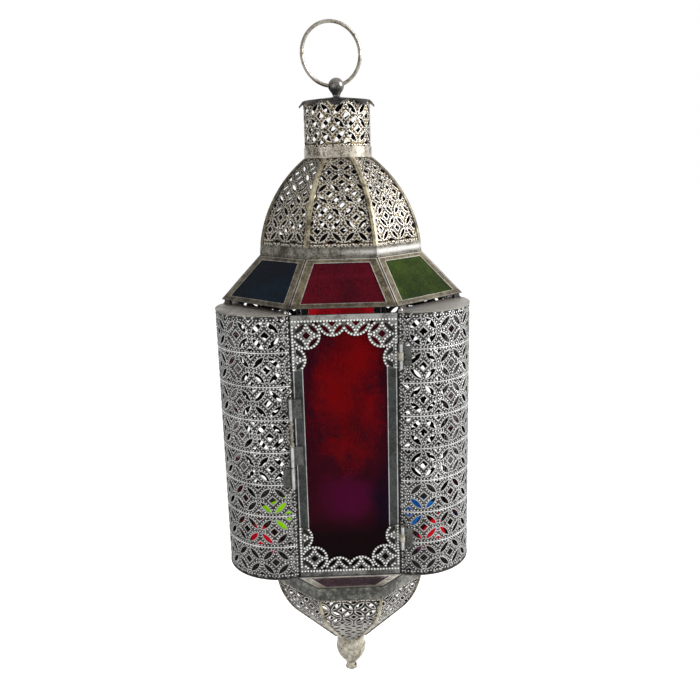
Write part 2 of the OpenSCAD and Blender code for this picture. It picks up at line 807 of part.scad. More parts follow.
module hinge_pins() {
    head_h = 0.8;
    color([0.66, 0.65, 0.62]) for (z = z_hinges) translate([tube_x, tube_y, z - hinge_h / 2]) union() {
        cylinder(r = pin_r, h = hinge_h);
        translate([0, 0, hinge_h + seat_gap / 2]) cylinder(r = tube_r - 0.5, h = head_h);
        translate([0, 0, hinge_h - over]) cylinder(r = pin_r, h = 2 * over);
    }
}

// ---------- Drop bolt ----------

// Two tubes on the door's free edge, each on a cranked plate that clears the wing
module bolt_guides() {
    plate_y = tube_y + tube_r - leaf_t;
    foot_x = -door_w + 0.3;
    color([0.68, 0.66, 0.6]) for (z = [z_guide_low, z_guide_high]) union() {
        tube(-tube_x, z, bolt_tube_h);
        bored(-tube_x, z, bolt_tube_h) translate([-tube_x, plate_y, z + 1])
            cube([leaf_w, leaf_t, bolt_tube_h - 2]);
        translate([foot_x, plate_y, z + 1])
            cube([leaf_w - tube_x - foot_x, -body_a - plate_y, bolt_tube_h - 2]);
    }
}

// The tube on the wing that the bolt drops into
module bolt_keeper() {
    color([0.66, 0.64, 0.58]) union() {
        tube(-tube_x, z_keeper, bolt_tube_h);
        bored(-tube_x, z_keeper, bolt_tube_h)
            mirror([1, 0, 0]) wing_leaf(z_keeper + 1, bolt_tube_h - 2);
    }
}

// The bolt: a round rod with a finger tab that rests on the lower guide
module door_bolt() {
    tab_r = tube_r * 0.9;
    color([0.75, 0.73, 0.66]) translate([-tube_x, tube_y, z_keeper + 1]) union() {
        cylinder(r = pin_r, h = bolt_len);
        translate([0, 0, z_tab - z_keeper - 1]) cylinder(r = tab_r, h = tab_h);
        translate([-1, -tube_r - 2, z_tab - z_keeper - 1]) cube([2, tube_r + 1, tab_h]);
    }
}

// ---------- Skirt ----------

skirt_slope_len = norm([body_a - dome_a, skirt_h]);

module on_skirt() {
    on_facet(dome_a, z_skirt_foot, body_a, z_skirt_top) children();
}

module skirt_frames() {
    color([0.55, 0.52, 0.46]) on_every_side() intersection() {
        wedge(z_skirt_foot, z_skirt_top);
        on_skirt() came_frame(dome_a * half_side, body_a * half_side, skirt_slope_len,
            hip_bar_w, rail_w, came_t * 2);
    }
}

module skirt_pane(i) {
    on_side(i) on_skirt() came_pane(dome_a * half_side, body_a * half_side, skirt_slope_len,
        hip_bar_w, rail_w);
}

SKIRT_COLOURS = ["#5a4048", "#8cc814", "#b01218", "#1560a8", "#80107a", "#8cc814", "#b01218", "#1560a8"];

// ---------- Candle tray and cup ----------

// Distance of the skirt's inner face from the axis at its foot
skirt_in_a = dome_a - came_t * skirt_slope_len / skirt_h;
z_tray = z_skirt_foot + 1.5;
tray_a = skirt_in_a + (z_tray - z_skirt_foot) * (body_a - dome_a) / skirt_h - seat_gap;

module candle_tray() {
    color([0.4, 0.39, 0.37]) translate([0, 0, z_tray]) octagon(tray_a, tray_t);
}

module candle_cup() {
    cup_r = cup_d / 2;
    lip = 1.6;
    color([0.55, 0.53, 0.5]) translate([0, 0, z_tray + tray_t]) rotate_extrude() polygon([
        [0, 0], [cup_r - lip, 0], [cup_r - lip, cup_h - sheet_t], [cup_r, cup_h - sheet_t], [cup_r, cup_h],
        [cup_r - lip - sheet_t, cup_h], [cup_r - lip - sheet_t, sheet_t], [0, sheet_t]
    ]);
}

// ---------- Bowl ----------

// The bowl's side: a bow down to the shoulder, a straight run, and a hollow that turns down to the collar
bowl_shoulder_drop = bowl_h * 0.53;
bowl_rim_a = dome_a - solder_gap;
bowl_centre = [bowl_rim_a - bowl_bow_r, z_skirt_foot];
shoulder_turn = asin(bowl_shoulder_drop / bowl_bow_r);
shoulder = bowl_centre + bowl_bow_r * [cos(shoulder_turn), -sin(shoulder_turn)];
collar_r = finial_r * 0.94;
collar_a = collar_r;

// Cross section of the bowl's wall, from depth t_in inside its face to t_out outside
module bowl_section(t_in, t_out) {
    run = [collar_a, z_bowl_foot] - shoulder;
    angle = atan2(run[1], run[0]);
    difference() {
        translate(bowl_centre) intersection() {
            difference() {
                circle(bowl_bow_r + t_out, $fn = 180);
                circle(bowl_bow_r - t_in, $fn = 180);
            }
            polygon([[0, 0], [2 * bowl_bow_r, 0],
                2 * bowl_bow_r * [1, -tan(shoulder_turn)]]);
        }
    }
    translate(shoulder) rotate(angle) translate([-0.6, -t_in]) square([norm(run) + 0.6, t_in + t_out]);
}

module bowl_skin(t_in, t_out, z0, z1, seam) {
    intersection() {
        wedge(z0, z1, seam);
        pull_along_side(dome_flats) bowl_section(t_in, t_out);
    }
}

module bowl_punch(x, turn) {
    translate([0, -bowl_centre[0], bowl_centre[1]]) rotate([turn, 0, 0])
        translate([x, -bowl_bow_r + 2 * sheet_t, 0]) rotate([90, 0, 0])
            linear_extrude(4 * sheet_t) children();
}

function bowl_half(turn) = half_side * (bowl_centre[0] + bowl_bow_r * cos(turn));

// The straight run below the shoulder: its length, its half width at a distance down it, and its holes
bowl_run = norm([collar_a, z_bowl_foot] - shoulder);

function run_half(d) = half_side * (shoulder[0] + (collar_a - shoulder[0]) * d / bowl_run);

module run_punch(x, d) {
    on_facet(collar_a, z_bowl_foot, shoulder[0], shoulder[1])
        translate([x, bowl_run - d, -2 * sheet_t]) linear_extrude(4 * sheet_t) children();
}

// Holes of the bowl's pattern, trimmed at the gore's edges, on the bow and on the straight run
module bowl_hole(x, turn, step, out) {
    if (shows(x, out, bowl_half(turn)))
        bowl_punch(x, turn)
            trimmed(x, fine_r, bowl_half(turn + step), bowl_half(turn - step)) children();
}

module run_hole(x, d, out) {
    if (shows(x, out, run_half(d)))
        run_punch(x, d) trimmed(x, fine_r, run_half(d + fine_r), run_half(d - fine_r)) children();
}

module bowl_panel() {
    r = fine_r;
    step = r / bowl_bow_r * 180 / PI;
    low = asin((bowl_band_h + border) / bowl_bow_r);
    rows = floor((shoulder_turn - low) / step);
    run_first = (low + rows * step - shoulder_turn) * PI / 180 * bowl_bow_r;
    run_rows = floor((bowl_run - run_first - 2) / r);
    difference() {
        bowl_skin(sheet_t, 0, z_bowl_foot, z_skirt_foot, seat_gap / 2);
        for (j = [0:rows - 1], i = [-4:4])
            bowl_hole(bowl_shift + (i + 0.5) * r, low + (j + 0.5) * step, step, r / 3)
                leaf(r, -leaf_lean(i, j), fine_web);
        for (j = [1:rows], i = [-4:4])
            if ((i + j) % 2 == 0)
                bowl_hole(bowl_shift + i * r, low + j * step, step, diamond_half(r)) diamond(r);
        for (i = [-4:2:4])
            bowl_hole(bowl_shift + i * r, low, step, r / 2) half_diamond(r / 2, -0.3 * r);
        for (j = [0:run_rows - 1], i = [-4:4])
            run_hole(bowl_shift + (i + 0.5) * r, run_first + (j + 0.5) * r, r / 3)
                leaf(r, -leaf_lean(i, j + rows), fine_web);
        for (j = [1:run_rows], i = [-4:4])
            if ((i + j + rows) % 2 == 0)
                run_hole(bowl_shift + i * r, run_first + j * r, diamond_half(r)) diamond(r);
    }
}

module bowl_panels() {
    color([0.6, 0.58, 0.54]) on_every_side() bowl_panel();
}

module bowl_ribs() {
    z1 = z_skirt_foot - bowl_band_h - solder_gap;
    z0 = z_bowl_foot + 1;
    color([0.72, 0.68, 0.6]) on_every_side() rotate([0, 0, eighth / 2]) intersection() {
        union() {
            rotate([0, 0, -eighth / 2]) bowl_skin(-seat_gap, strap_t + seat_gap, z0, z1, -mitre_lap);
            rotate([0, 0, eighth / 2]) bowl_skin(-seat_gap, strap_t + seat_gap, z0, z1, -mitre_lap);
        }
        translate([-bowl_rib_w / 2, -dome_flats, z0]) cube([bowl_rib_w, dome_flats, bowl_h]);
    }
}

module bowl_band() {
    color([0.56, 0.54, 0.5]) bow_band(bowl_centre, bowl_bow_r, z_skirt_foot - bowl_band_h, z_skirt_foot);
}

// Turned finial under the bowl, with a cross hole in its tip for a tassel
module finial() {
    eye_r = 1.9;
    eye_turn = -42;
    color([0.5, 0.47, 0.43]) translate([0, 0, z_bowl_foot]) difference() {
        rotate_extrude() polygon([
            [0, 0], [collar_r, 0], [collar_r, -finial_h * 0.24], [finial_r, -finial_h * 0.29],
            [finial_r, -finial_h * 0.37], [finial_r * 0.95, -finial_h * 0.46],
            [finial_r * 0.84, -finial_h * 0.56], [finial_r * 0.66, -finial_h * 0.65],
            [finial_r * 0.46, -finial_h * 0.74], [finial_r * 0.36, -finial_h * 0.8],
            [finial_r * 0.35, -finial_h * 0.89], [finial_r * 0.42, -finial_h * 0.95], [0, -finial_h]
        ]);
        translate([0, 0, -finial_h * 0.85]) rotate([0, 90, eye_turn])
            cylinder(r = eye_r, h = 3 * finial_r, center = true);
    }
}

// ---------- What is drawn ----------

hanging_ring();
ball_knob();
knob_nut();
crown_cap();
neck_screen();
neck_band();
dome_panels();
dome_ribs();
dome_band();
roof_frames();
for (i = [0:7])
    color(ROOF_COLOURS[i]) roof_pane(i);
roof_tabs();
wing_screen_se();
wing_screen_sw();
wing_screen_ne();
wing_screen_nw();
wing_top_plates();
wing_base_plates();
corner_posts();
base_ring();
side_frames();
side_pane_e();
side_pane_n();
side_pane_w();
door_frame();
door_pane();
door_lace_top();
door_lace_bottom();
door_knuckles();
hinge_leaves();
hinge_pins();
bolt_guides();
bolt_keeper();
door_bolt();
skirt_frames();
for (i = [0:7])
    color(SKIRT_COLOURS[i]) skirt_pane(i);
candle_tray();
candle_cup();
bowl_panels();
bowl_ribs();
bowl_band();
finial();
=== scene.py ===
import math

import bpy
import numpy as np
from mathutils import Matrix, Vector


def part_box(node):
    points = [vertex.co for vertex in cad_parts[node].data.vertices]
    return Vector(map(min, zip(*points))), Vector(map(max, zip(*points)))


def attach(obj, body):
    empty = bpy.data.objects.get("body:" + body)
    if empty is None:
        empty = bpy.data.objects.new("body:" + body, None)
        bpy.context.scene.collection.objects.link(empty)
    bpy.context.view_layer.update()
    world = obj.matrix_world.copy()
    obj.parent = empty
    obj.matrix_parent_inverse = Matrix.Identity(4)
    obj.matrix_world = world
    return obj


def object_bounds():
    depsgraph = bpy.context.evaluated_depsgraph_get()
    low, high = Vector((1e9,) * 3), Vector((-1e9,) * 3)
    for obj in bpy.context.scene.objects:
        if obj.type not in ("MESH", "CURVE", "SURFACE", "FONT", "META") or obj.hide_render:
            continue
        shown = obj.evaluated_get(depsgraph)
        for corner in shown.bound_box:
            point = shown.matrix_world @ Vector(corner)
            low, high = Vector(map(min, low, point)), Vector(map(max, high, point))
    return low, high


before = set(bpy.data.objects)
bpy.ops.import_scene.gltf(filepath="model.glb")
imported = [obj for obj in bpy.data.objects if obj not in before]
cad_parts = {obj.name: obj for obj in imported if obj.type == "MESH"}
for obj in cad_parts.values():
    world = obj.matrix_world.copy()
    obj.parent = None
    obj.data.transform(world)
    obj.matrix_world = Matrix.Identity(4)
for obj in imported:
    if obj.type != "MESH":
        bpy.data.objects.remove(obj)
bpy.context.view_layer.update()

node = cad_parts

# ----------------------------------------
# Hanging ring: one length of round steel wire, bent into a ring through the
# ball's cross hole and closed with a butt joint. Its polish has gone grey in
# small patches.


def new_group(name, inputs, outputs):
    """Empty shader node group with the named sockets; returns the group, its input and its output node."""
    group = bpy.data.node_groups.new(name, "ShaderNodeTree")
    for label, kind, value in inputs:
        socket = group.interface.new_socket(name=label, in_out="INPUT", socket_type=kind)
        socket.default_value = value
    for label, kind in outputs:
        group.interface.new_socket(name=label, in_out="OUTPUT", socket_type=kind)
    return group, group.nodes.new("NodeGroupInput"), group.nodes.new("NodeGroupOutput")


def feed(value, socket):
    """Gives a socket a value: a number, a colour or another socket."""
    if isinstance(value, (int, float, tuple)):
        socket.default_value = value
    else:
        socket.id_data.links.new(value, socket)


def maths(operation, a, b=None, clamp=False):
    """A Math node on sockets or plain numbers, in the tree of the first socket; returns its result."""
    tree = (b if isinstance(a, (int, float)) else a).id_data
    step = tree.nodes.new("ShaderNodeMath")
    step.operation = operation
    step.use_clamp = clamp
    feed(a, step.inputs[0])
    if b is not None:
        feed(b, step.inputs[1])
    return step.outputs[0]


def plus(a, b):
    """The sum of two values."""
    return maths("ADD", a, b)


def minus(a, b):
    """The first value less the second."""
    return maths("SUBTRACT", a, b)


def times(a, b):
    """The product of two values."""
    return maths("MULTIPLY", a, b)


def noise(coordinates, scale, detail, roughness=0.6):
    """A Noise Texture on the given coordinates; returns its grey value."""
    grain = coordinates.id_data.nodes.new("ShaderNodeTexNoise")
    feed(coordinates, grain.inputs["Vector"])
    grain.inputs["Scale"].default_value = scale
    grain.inputs["Detail"].default_value = detail
    grain.inputs["Roughness"].default_value = roughness
    return grain.outputs[0]


def ramp(value, low, high):
    """A smooth step from 0 at low to 1 at high; low and high may be sockets."""
    rise = value.id_data.nodes.new("ShaderNodeMapRange")
    rise.interpolation_type = "SMOOTHSTEP"
    feed(value, rise.inputs["Value"])
    feed(low, rise.inputs["From Min"])
    feed(high, rise.inputs["From Max"])
    return rise.outputs["Result"]


def blend_colours(tree, share, a, b):
    """Mixes two colours, each a socket or a plain colour, by a socket or a number."""
    mixer = tree.nodes.new("ShaderNodeMix")
    mixer.data_type = "RGBA"
    for socket, value in ((mixer.inputs[0], share), (mixer.inputs[6], a), (mixer.inputs[7], b)):
        feed(value, socket)
    return mixer.outputs[2]


def add_group(tree, group, inputs):
    """Puts a node group in a tree and gives its named inputs their values."""
    effect = tree.nodes.new("ShaderNodeGroup")
    effect.node_tree = group
    for label, value in inputs.items():
        feed(value, effect.inputs[label])
    return effect


def new_material(name):
    """A material with a Principled shader; returns the material, its tree and the shader."""
    material = bpy.data.materials.new(name)
    material.use_nodes = True
    tree = material.node_tree
    return material, tree, tree.nodes["Principled BSDF"]


def dented(tree, shader, height, strength):
    """Roughens a shader's surface by a height in millimetres."""
    bump = tree.nodes.new("ShaderNodeBump")
    bump.inputs["Strength"].default_value = strength
    bump.inputs["Distance"].default_value = 0.001
    feed(height, bump.inputs["Height"])
    feed(bump.outputs["Normal"], shader.inputs["Normal"])


def position(tree):
    """The piece's own coordinates as one vector and as X, Y and Z."""
    place = tree.nodes.new("ShaderNodeTexCoord").outputs["Object"]
    split = tree.nodes.new("ShaderNodeSeparateXYZ")
    feed(place, split.inputs[0])
    return place, split.outputs


def hue(text):
    """A linear colour from a six-digit sRGB one."""
    parts = [int(text[i:i + 2], 16) / 255 for i in (0, 2, 4)]
    return tuple(p / 12.92 if p <= 0.04045 else ((p + 0.055) / 1.055) ** 2.4 for p in parts) + (1.0,)


# Patina of old silvered metal: slow clouds, blotches and fine specks of tarnish, all from
# noise summed and cut at a level that Amount lowers. Brightened lightens it where it is 1, for wear and
# painted highlights, Recess blackens it for oxide and painted shade, and Size scales the pattern.
patina, patina_in, patina_out = new_group(
    "patina",
    [("Metal", "NodeSocketColor", hue("c4c1ba")), ("Tarnish", "NodeSocketColor", hue("4a4234")),
     ("Amount", "NodeSocketFloat", 0.5), ("Gloss", "NodeSocketFloat", 0.35),
     ("Brightened", "NodeSocketFloat", 0.0), ("Recess", "NodeSocketFloat", 0.0), ("Size", "NodeSocketFloat", 1.0)],
    [("Color", "NodeSocketColor"), ("Roughness", "NodeSocketFloat"), ("Height", "NodeSocketFloat")],
)
scaled = patina.nodes.new("ShaderNodeVectorMath")
scaled.operation = "SCALE"
feed(position(patina)[0], scaled.inputs[0])
feed(patina_in.outputs["Size"], scaled.inputs["Scale"])
clouds = noise(scaled.outputs[0], 24.0, 3.0)
blotches = noise(scaled.outputs[0], 130.0, 4.0, 0.65)
specks = noise(scaled.outputs[0], 620.0, 3.0, 0.7)
cover = plus(times(clouds, 0.3), times(blotches, 0.4))
cover = plus(cover, times(specks, 0.4))
level = minus(0.75, times(patina_in.outputs["Amount"], 0.4))
spread = ramp(cover, minus(level, 0.1), plus(level, 0.1))
brightening = times(patina_in.outputs["Brightened"], minus(1.0, times(spread, 0.45)))
darkened = maths("MULTIPLY", patina_in.outputs["Recess"], plus(0.7, times(blotches, 0.5)), clamp=True)
aged = blend_colours(patina, spread, patina_in.outputs["Metal"], patina_in.outputs["Tarnish"])
shine = blend_colours(patina, 0.6, patina_in.outputs["Metal"], hue("ffffff"))
bright = blend_colours(patina, brightening, aged, shine)
feed(blend_colours(patina, darkened, bright, hue("17140f")), patina_out.inputs["Color"])
dulled = plus(patina_in.outputs["Gloss"], times(spread, 0.22))
polished = minus(dulled, times(brightening, 0.12))
feed(maths("ADD", polished, times(darkened, 0.25), clamp=True), patina_out.inputs["Roughness"])
small_dents = plus(times(blotches, 0.4), times(specks, 0.12))
feed(plus(times(clouds, 0.9), small_dents), patina_out.inputs["Height"])


def silvered(name, metal, tarnish, amount, gloss, dent=0.25, size=1.0, metallic=0.6, masks=None):
    """A patinated metal. masks(tree, x, y, z) returns a mask of wear and painted highlights, a mask of oxide
    and painted shade, and a height, or None.
    """
    material, tree, shader = new_material(name)
    look = {"Metal": hue(metal), "Tarnish": hue(tarnish), "Amount": amount, "Gloss": gloss, "Size": size}
    effect = add_group(tree, patina, look)
    feed(effect.outputs["Color"], shader.inputs["Base Color"])
    feed(effect.outputs["Roughness"], shader.inputs["Roughness"])
    shader.inputs["Metallic"].default_value = metallic
    height = effect.outputs["Height"]
    if masks:
        brightened, recess, raised = masks(tree, *position(tree)[1])
        for label, value in (("Brightened", brightened), ("Recess", recess)):
            if value is not None:
                feed(value, effect.inputs[label])
        if raised is not None:
            height = plus(height, raised)
    dented(tree, shader, height, dent)
    return material


def dress(material, *names):
    """Gives CAD nodes their finish."""
    for name in names:
        node[name].data.materials.clear()
        node[name].data.materials.append(material)


ring_steel = silvered("ring_steel", "9a958b", "4f463a", 0.5, 0.2, 0.15, 2.0)
dress(ring_steel, "hanging_ring")

# ----------------------------------------
# Knob, nut and crown cap: a turned ball on a stud, screwed through a thin
# spun cap whose rim is cut into scallops and bent down by hand. Blackened,
# and rubbed back to the pewter in patches.
dress(silvered("knob_pewter", "7c7975", "1e1c19", 0.5, 0.22, 0.2, 2.0), "ball_knob", "knob_nut")
dress(silvered("cap_pewter", "3a3937", "131211", 0.45, 0.3, 0.35, 1.5, metallic=0.95), "crown_cap")

# ----------------------------------------
# Neck: one strip punched with leaves and diamonds on a grid of overlapping
# circles, rolled into a tube and stood in a plain band with a flange. Small
# beads pressed from behind follow every circle. Silvered and antiqued.
NECK_R = 0.0333
NECK_BAND_H = 0.0094
BORDER = 0.003  # plain sheet between a band and the pattern
NECK_CELL = math.pi * NECK_R / 8  # radius of the pattern's circles, sixteen times in the neck's round
NECK_TURN = math.radians(13.9)  # from the front to the first circle
FINE = 0.0123  # radius of the pattern's circles on the dome and bowl
FINE_WEB, COARSE_WEB = 0.0016, 0.0019  # how far a leaf hole's edge lies inside its circles
DIAMOND = 0.29  # half diagonal of a diamond hole over the circles' radius
SHEET_T = 0.0008
neck_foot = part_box("neck_screen")[0][2]
neck_low = neck_foot + NECK_BAND_H + BORDER


def larger(a, b):
    """The larger of two values."""
    return maths("MAXIMUM", a, b)


def smaller(a, b):
    """The smaller of two values."""
    return maths("MINIMUM", a, b)


def unsigned(value):
    """A value without its sign."""
    return maths("ABSOLUTE", value)


def fade(value, low, high):
    """A smooth step from 1 at low to 0 at high."""
    return minus(1.0, ramp(value, low, high))


def length_of(u, v):
    """The length of a flat vector: the root of the sum of its squares."""
    return maths("SQRT", plus(times(u, u), times(v, v)))


# The punched pattern on flat coordinates, folded into one square of the grid, which has circles
# about two opposite corners. Rim is 1 at a hole's edge, where a glint is painted bright, Track is 1
# along the circles, where oxide stays between the beads, and Height stands up at the rims and sinks along
# the tracks.
lattice, lattice_in, lattice_out = new_group(
    "lattice",
    [("Across", "NodeSocketFloat", 0.0), ("Along", "NodeSocketFloat", 0.0),
     ("Step", "NodeSocketFloat", FINE), ("Web", "NodeSocketFloat", FINE_WEB)],
    [("Rim", "NodeSocketFloat"), ("Track", "NodeSocketFloat"), ("Height", "NodeSocketFloat")],
)
step_r = lattice_in.outputs["Step"]
fold_u = maths("PINGPONG", lattice_in.outputs["Across"], step_r)
fold_v = maths("PINGPONG", lattice_in.outputs["Along"], step_r)
near = length_of(fold_u, fold_v)
far = length_of(minus(step_r, fold_u), minus(step_r, fold_v))
from_leaf = minus(larger(near, far), minus(step_r, lattice_in.outputs["Web"]))
square_sum = plus(fold_u, fold_v)
corner_sum = smaller(square_sum, minus(times(step_r, 2.0), square_sum))
from_diamond = times(minus(corner_sum, times(step_r, DIAMOND)), math.sqrt(0.5))
from_hole = smaller(from_leaf, from_diamond)
from_arc = smaller(unsigned(minus(near, step_r)), unsigned(minus(far, step_r)))
edge = fade(from_hole, 0.0006, 0.0013)
rim = times(edge, ramp(from_hole, -0.0006, -0.0002))
track = times(fade(from_arc, 0.0005, 0.0011), minus(1.0, rim))
feed(rim, lattice_out.inputs["Rim"])
feed(track, lattice_out.inputs["Track"])
stands = minus(times(rim, 0.5), times(track, 0.4))
feed(stands, lattice_out.inputs["Height"])


def punched(tree, across, along, step, web, depth, dark_share=0.45):
    """Masks of a punched sheet: the lattice on two flat coordinates, with its rims as painted glints, and
    painted shade deeper than its face, on the inside.
    """
    effect = add_group(tree, lattice, {"Across": across, "Along": along, "Step": step, "Web": web})
    # Painted shade: the sheet's inside and the inner half of its hole walls are darkened to black.
    behind = ramp(depth, SHEET_T * 0.35, SHEET_T * 0.6)
    brightened = times(effect.outputs["Rim"], minus(1.0, behind))
    recess = larger(times(effect.outputs["Track"], dark_share), behind)
    return brightened, recess, effect.outputs["Height"]


def neck_masks(tree, x, y, z):
    """Across is the turn from the front times the radius, along is the height over the pattern's foot."""
    turn = maths("ARCTAN2", x, times(y, -1.0))
    across = times(minus(turn, NECK_TURN), NECK_R)
    along = minus(z, neck_low)
    depth = minus(NECK_R, length_of(x, y))
    return punched(tree, across, along, NECK_CELL, FINE_WEB, depth)


WARM_SHEET = "a48f62", "241b0e", 0.66, 0.26, 0.5  # metal, tarnish, its amount, gloss and dents
dress(silvered("neck_sheet", *WARM_SHEET, masks=neck_masks), "neck_screen")
dress(silvered("neck_plain", "bcb6a8", "453c2e", 0.5, 0.26, 0.3), "neck_band")

# A bead's profile from below: radius and height in millimetres, and how lit it is painted, from shade at its
# foot to a highlight at its tip.
BEAD_SIDES = 6
BEAD_PROFILE = np.array([(1.2, -0.15, 0.0), (1.15, 0.03, 0.0), (0.8, 0.1, 0.3), (0.55, 0.34, 1.0)])
BEAD_PROFILE = BEAD_PROFILE / (1000, 1000, 1)
BEAD_TIP = 0.00046


def bead_masks(tree, x, y, z):
    """The bead's lit attribute runs from 0 at its foot, painted dark as shade, to 1 at its tip, painted
    bright as a highlight.
    """
    lit = tree.nodes.new("ShaderNodeAttribute")
    lit.attribute_name = "lit"
    foot = fade(lit.outputs["Fac"], 0.05, 0.5)
    return ramp(lit.outputs["Fac"], 0.5, 1.0), times(foot, 0.75), None


cool_beads = silvered("cool_beads", "959490", "403d36", 0.5, 0.22, 0.1, masks=bead_masks)
warm_beads = silvered("warm_beads", "97845c", "302614", 0.5, 0.28, 0.1, masks=bead_masks)


def placed(name, data):
    """A new object of the scene with the given data."""
    thing = bpy.data.objects.new(name, data)
    bpy.context.scene.collection.objects.link(thing)
    return thing


def put_piece(name, verts, faces, body, material, smooth=True, lit=None):
    """Makes a mesh object from arrays, gives it a finish and fixes it to a body."""
    mesh = bpy.data.meshes.new(name)
    mesh.from_pydata(verts.reshape(-1, 3).tolist(), [], faces)
    if lit is not None:
        mesh.attributes.new("lit", "FLOAT", "POINT").data.foreach_set("value", lit.astype(np.float32))
    mesh.update()
    mesh.materials.append(material)
    mesh.polygons.foreach_set("use_smooth", np.full(len(mesh.polygons), smooth))
    piece = placed(name, mesh)
    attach(piece, body)


def table(*parts):
    """Arrays side by side as the columns of one; a plain number fills its whole column."""
    return np.stack(np.broadcast_arrays(*parts), -1)


def beads(name, feet, ups, material, body="lantern", size=1.0):
    """Pressed beads. Each ring of the profile is its radius times the cosine and sine of even turns,
    square to the up vector, at its height along it; a tip and a base point close the bead."""
    ref = np.where(np.abs(ups[:, 2:3]) > 0.9, [[1.0, 0, 0]], [[0, 0, 1.0]])
    east = np.cross(ref, ups)
    east /= np.linalg.norm(east, axis=1, keepdims=True)
    north = np.cross(ups, east)
    a = np.arange(BEAD_SIDES) * 2 * math.pi / BEAD_SIDES
    circle = east[:, None] * np.cos(a)[None, :, None] + north[:, None] * np.sin(a)[None, :, None]
    rings = [feet[:, None] + circle * r * size + ups[:, None] * h * size for r, h, _ in BEAD_PROFILE]
    tip = (feet + ups * BEAD_TIP * size)[:, None]
    base = (feet + ups * BEAD_PROFILE[0, 1] * size)[:, None]
    verts = np.concatenate([*rings, tip, base], axis=1)
    lit = np.tile(np.concatenate([np.repeat(BEAD_PROFILE[:, 2], BEAD_SIDES), [1.0, 0.0]]), len(feet))
    k = np.arange(BEAD_SIDES)
    after = (k + 1) % BEAD_SIDES
    first = (np.arange(len(feet)) * verts.shape[1])[:, None, None]
    faces = []
    for row in range(len(BEAD_PROFILE) - 1):
        low, high = row * BEAD_SIDES, (row + 1) * BEAD_SIDES
        wall = table(k + low, after + low, after + high, k + high)
        faces += (wall + first).reshape(-1, 4).tolist()
    tip_at = len(BEAD_PROFILE) * BEAD_SIDES
    for fan in (table(k + high, after + high, tip_at), table(after, k, tip_at + 1)):
        faces += (fan + first).reshape(-1, 3).tolist()
    put_piece(name, verts, faces, body, material, lit=lit)


def thinned(points, gap):
    """Leaves out each point that lies nearer than gap to one before it, by the table of all distances."""
    away = np.linalg.norm(points[:, None] - points[None], axis=2)
    return points[~np.any(np.triu(away < gap, 1), axis=0)]


def kept(points, column, low, high):
    """The points whose number in that column lies between low and high."""
    return points[(points[:, column] > low) & (points[:, column] < high)]


def circle_beads(centres, r, count):
    """Points evenly round each circle: its centre plus r times the cosine and sine of count equal turns."""
    a = np.arange(count) * 2 * math.pi / count
    return (np.asarray(centres)[:, None] + table(np.cos(a), np.sin(a)) * r).reshape(-1, 2)


def grid_centres(step, columns, rows):
    """Circle centres of the pattern: the points of a square grid whose two numbers have an even sum."""
    i, j = np.meshgrid(np.arange(*columns), np.arange(*rows))
    even = (i + j) % 2 == 0
    return table(i[even], j[even]) * step


def on_neck(flat):
    """Points and outward directions on the tube. The turn is the first number over NECK_R; out is its sine
    in X and minus its cosine in Y, and the second number is the height over the pattern's foot."""
    turn = flat[:, 0] / NECK_R + NECK_TURN
    out = table(np.sin(turn), -np.cos(turn), 0.0)
    return out * NECK_R + np.outer(flat[:, 1] + neck_low, [0, 0, 1]), out


neck_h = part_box("neck_screen")[1][2] - neck_low
neck_round = 16 * NECK_CELL
neck_flat = circle_beads(grid_centres(NECK_CELL, (0, 16), (-1, 5)), NECK_CELL, count=24)
neck_flat[:, 0] %= neck_round
neck_flat = thinned(kept(neck_flat, 1, 0.0012, neck_h - 0.0015), gap=0.0017)
neck_row = table(np.linspace(0, neck_round, 72, endpoint=False), -0.0015)
beads("neck_beads", *on_neck(np.concatenate([neck_flat, neck_row])), warm_beads)

# ----------------------------------------
# Dome: eight punched gores bowed outwards, soldered edge to edge, with a
# half-round rib over each seam and a plain band round the foot.
DOME_R = 0.1257  # radius of the bow
DOME_A = -0.045572  # where the bow's centre lies, out from the axis
DOME_SINK = 0.005674  # and how far it lies below the panels' foot
DOME_SHIFT = -0.010  # a circle's centre, across from the gore's middle
DOME_BAND_H = 0.0105
EIGHTH = math.pi / 4
HALF_SIDE = math.tan(EIGHTH / 2)  # half a side of an octagon over its inner radius
RIB_CLEAR = 0.0038  # beads stay this far in from a gore's edges
dome_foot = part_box("dome_panels")[0][2]
DOME_Z = dome_foot - DOME_SINK
dome_start = DOME_R * math.asin((dome_foot + DOME_BAND_H + BORDER - DOME_Z) / DOME_R)


def side_fold(x, y):
    """Turns a place to the front side of the octagon: how far across that side and how far out it lies."""
    turn = maths("ARCTAN2", x, times(y, -1.0))
    whole = maths("ROUND", maths("DIVIDE", turn, EIGHTH))
    rest = minus(turn, times(whole, EIGHTH))
    reach = length_of(x, y)
    return times(reach, maths("SINE", rest)), times(reach, maths("COSINE", rest))


def to_hip(across, out):
    """How far a place on a side lies from the nearer corner between two sides."""
    return minus(times(out, HALF_SIDE), unsigned(across))


def dome_masks(tree, x, y, z):
    """Across is folded to one gore, along is the bow's radius times the angle above its centre's level."""
    across, out = side_fold(x, y)
    rise = minus(z, DOME_Z)
    away = minus(out, DOME_A)
    along = minus(times(maths("ARCTAN2", rise, away), DOME_R), dome_start)
    depth = minus(DOME_R, length_of(away, rise))
    shifted = minus(across, DOME_SHIFT)
    brightened, recess, raised = punched(tree, shifted, along, FINE, FINE_WEB, depth, dark_share=0.7)
    # Painted shade beside the ribs along each gore's edges, and the gore darker towards its top.
    darkening = times(fade(to_hip(across, out), 0.002, 0.011), 0.45)
    darkening = larger(darkening, times(ramp(rise, 0.035, 0.075), 0.4))
    return brightened, larger(recess, darkening), raised


dress(silvered("dome_sheet", *WARM_SHEET, masks=dome_masks), "dome_panels")


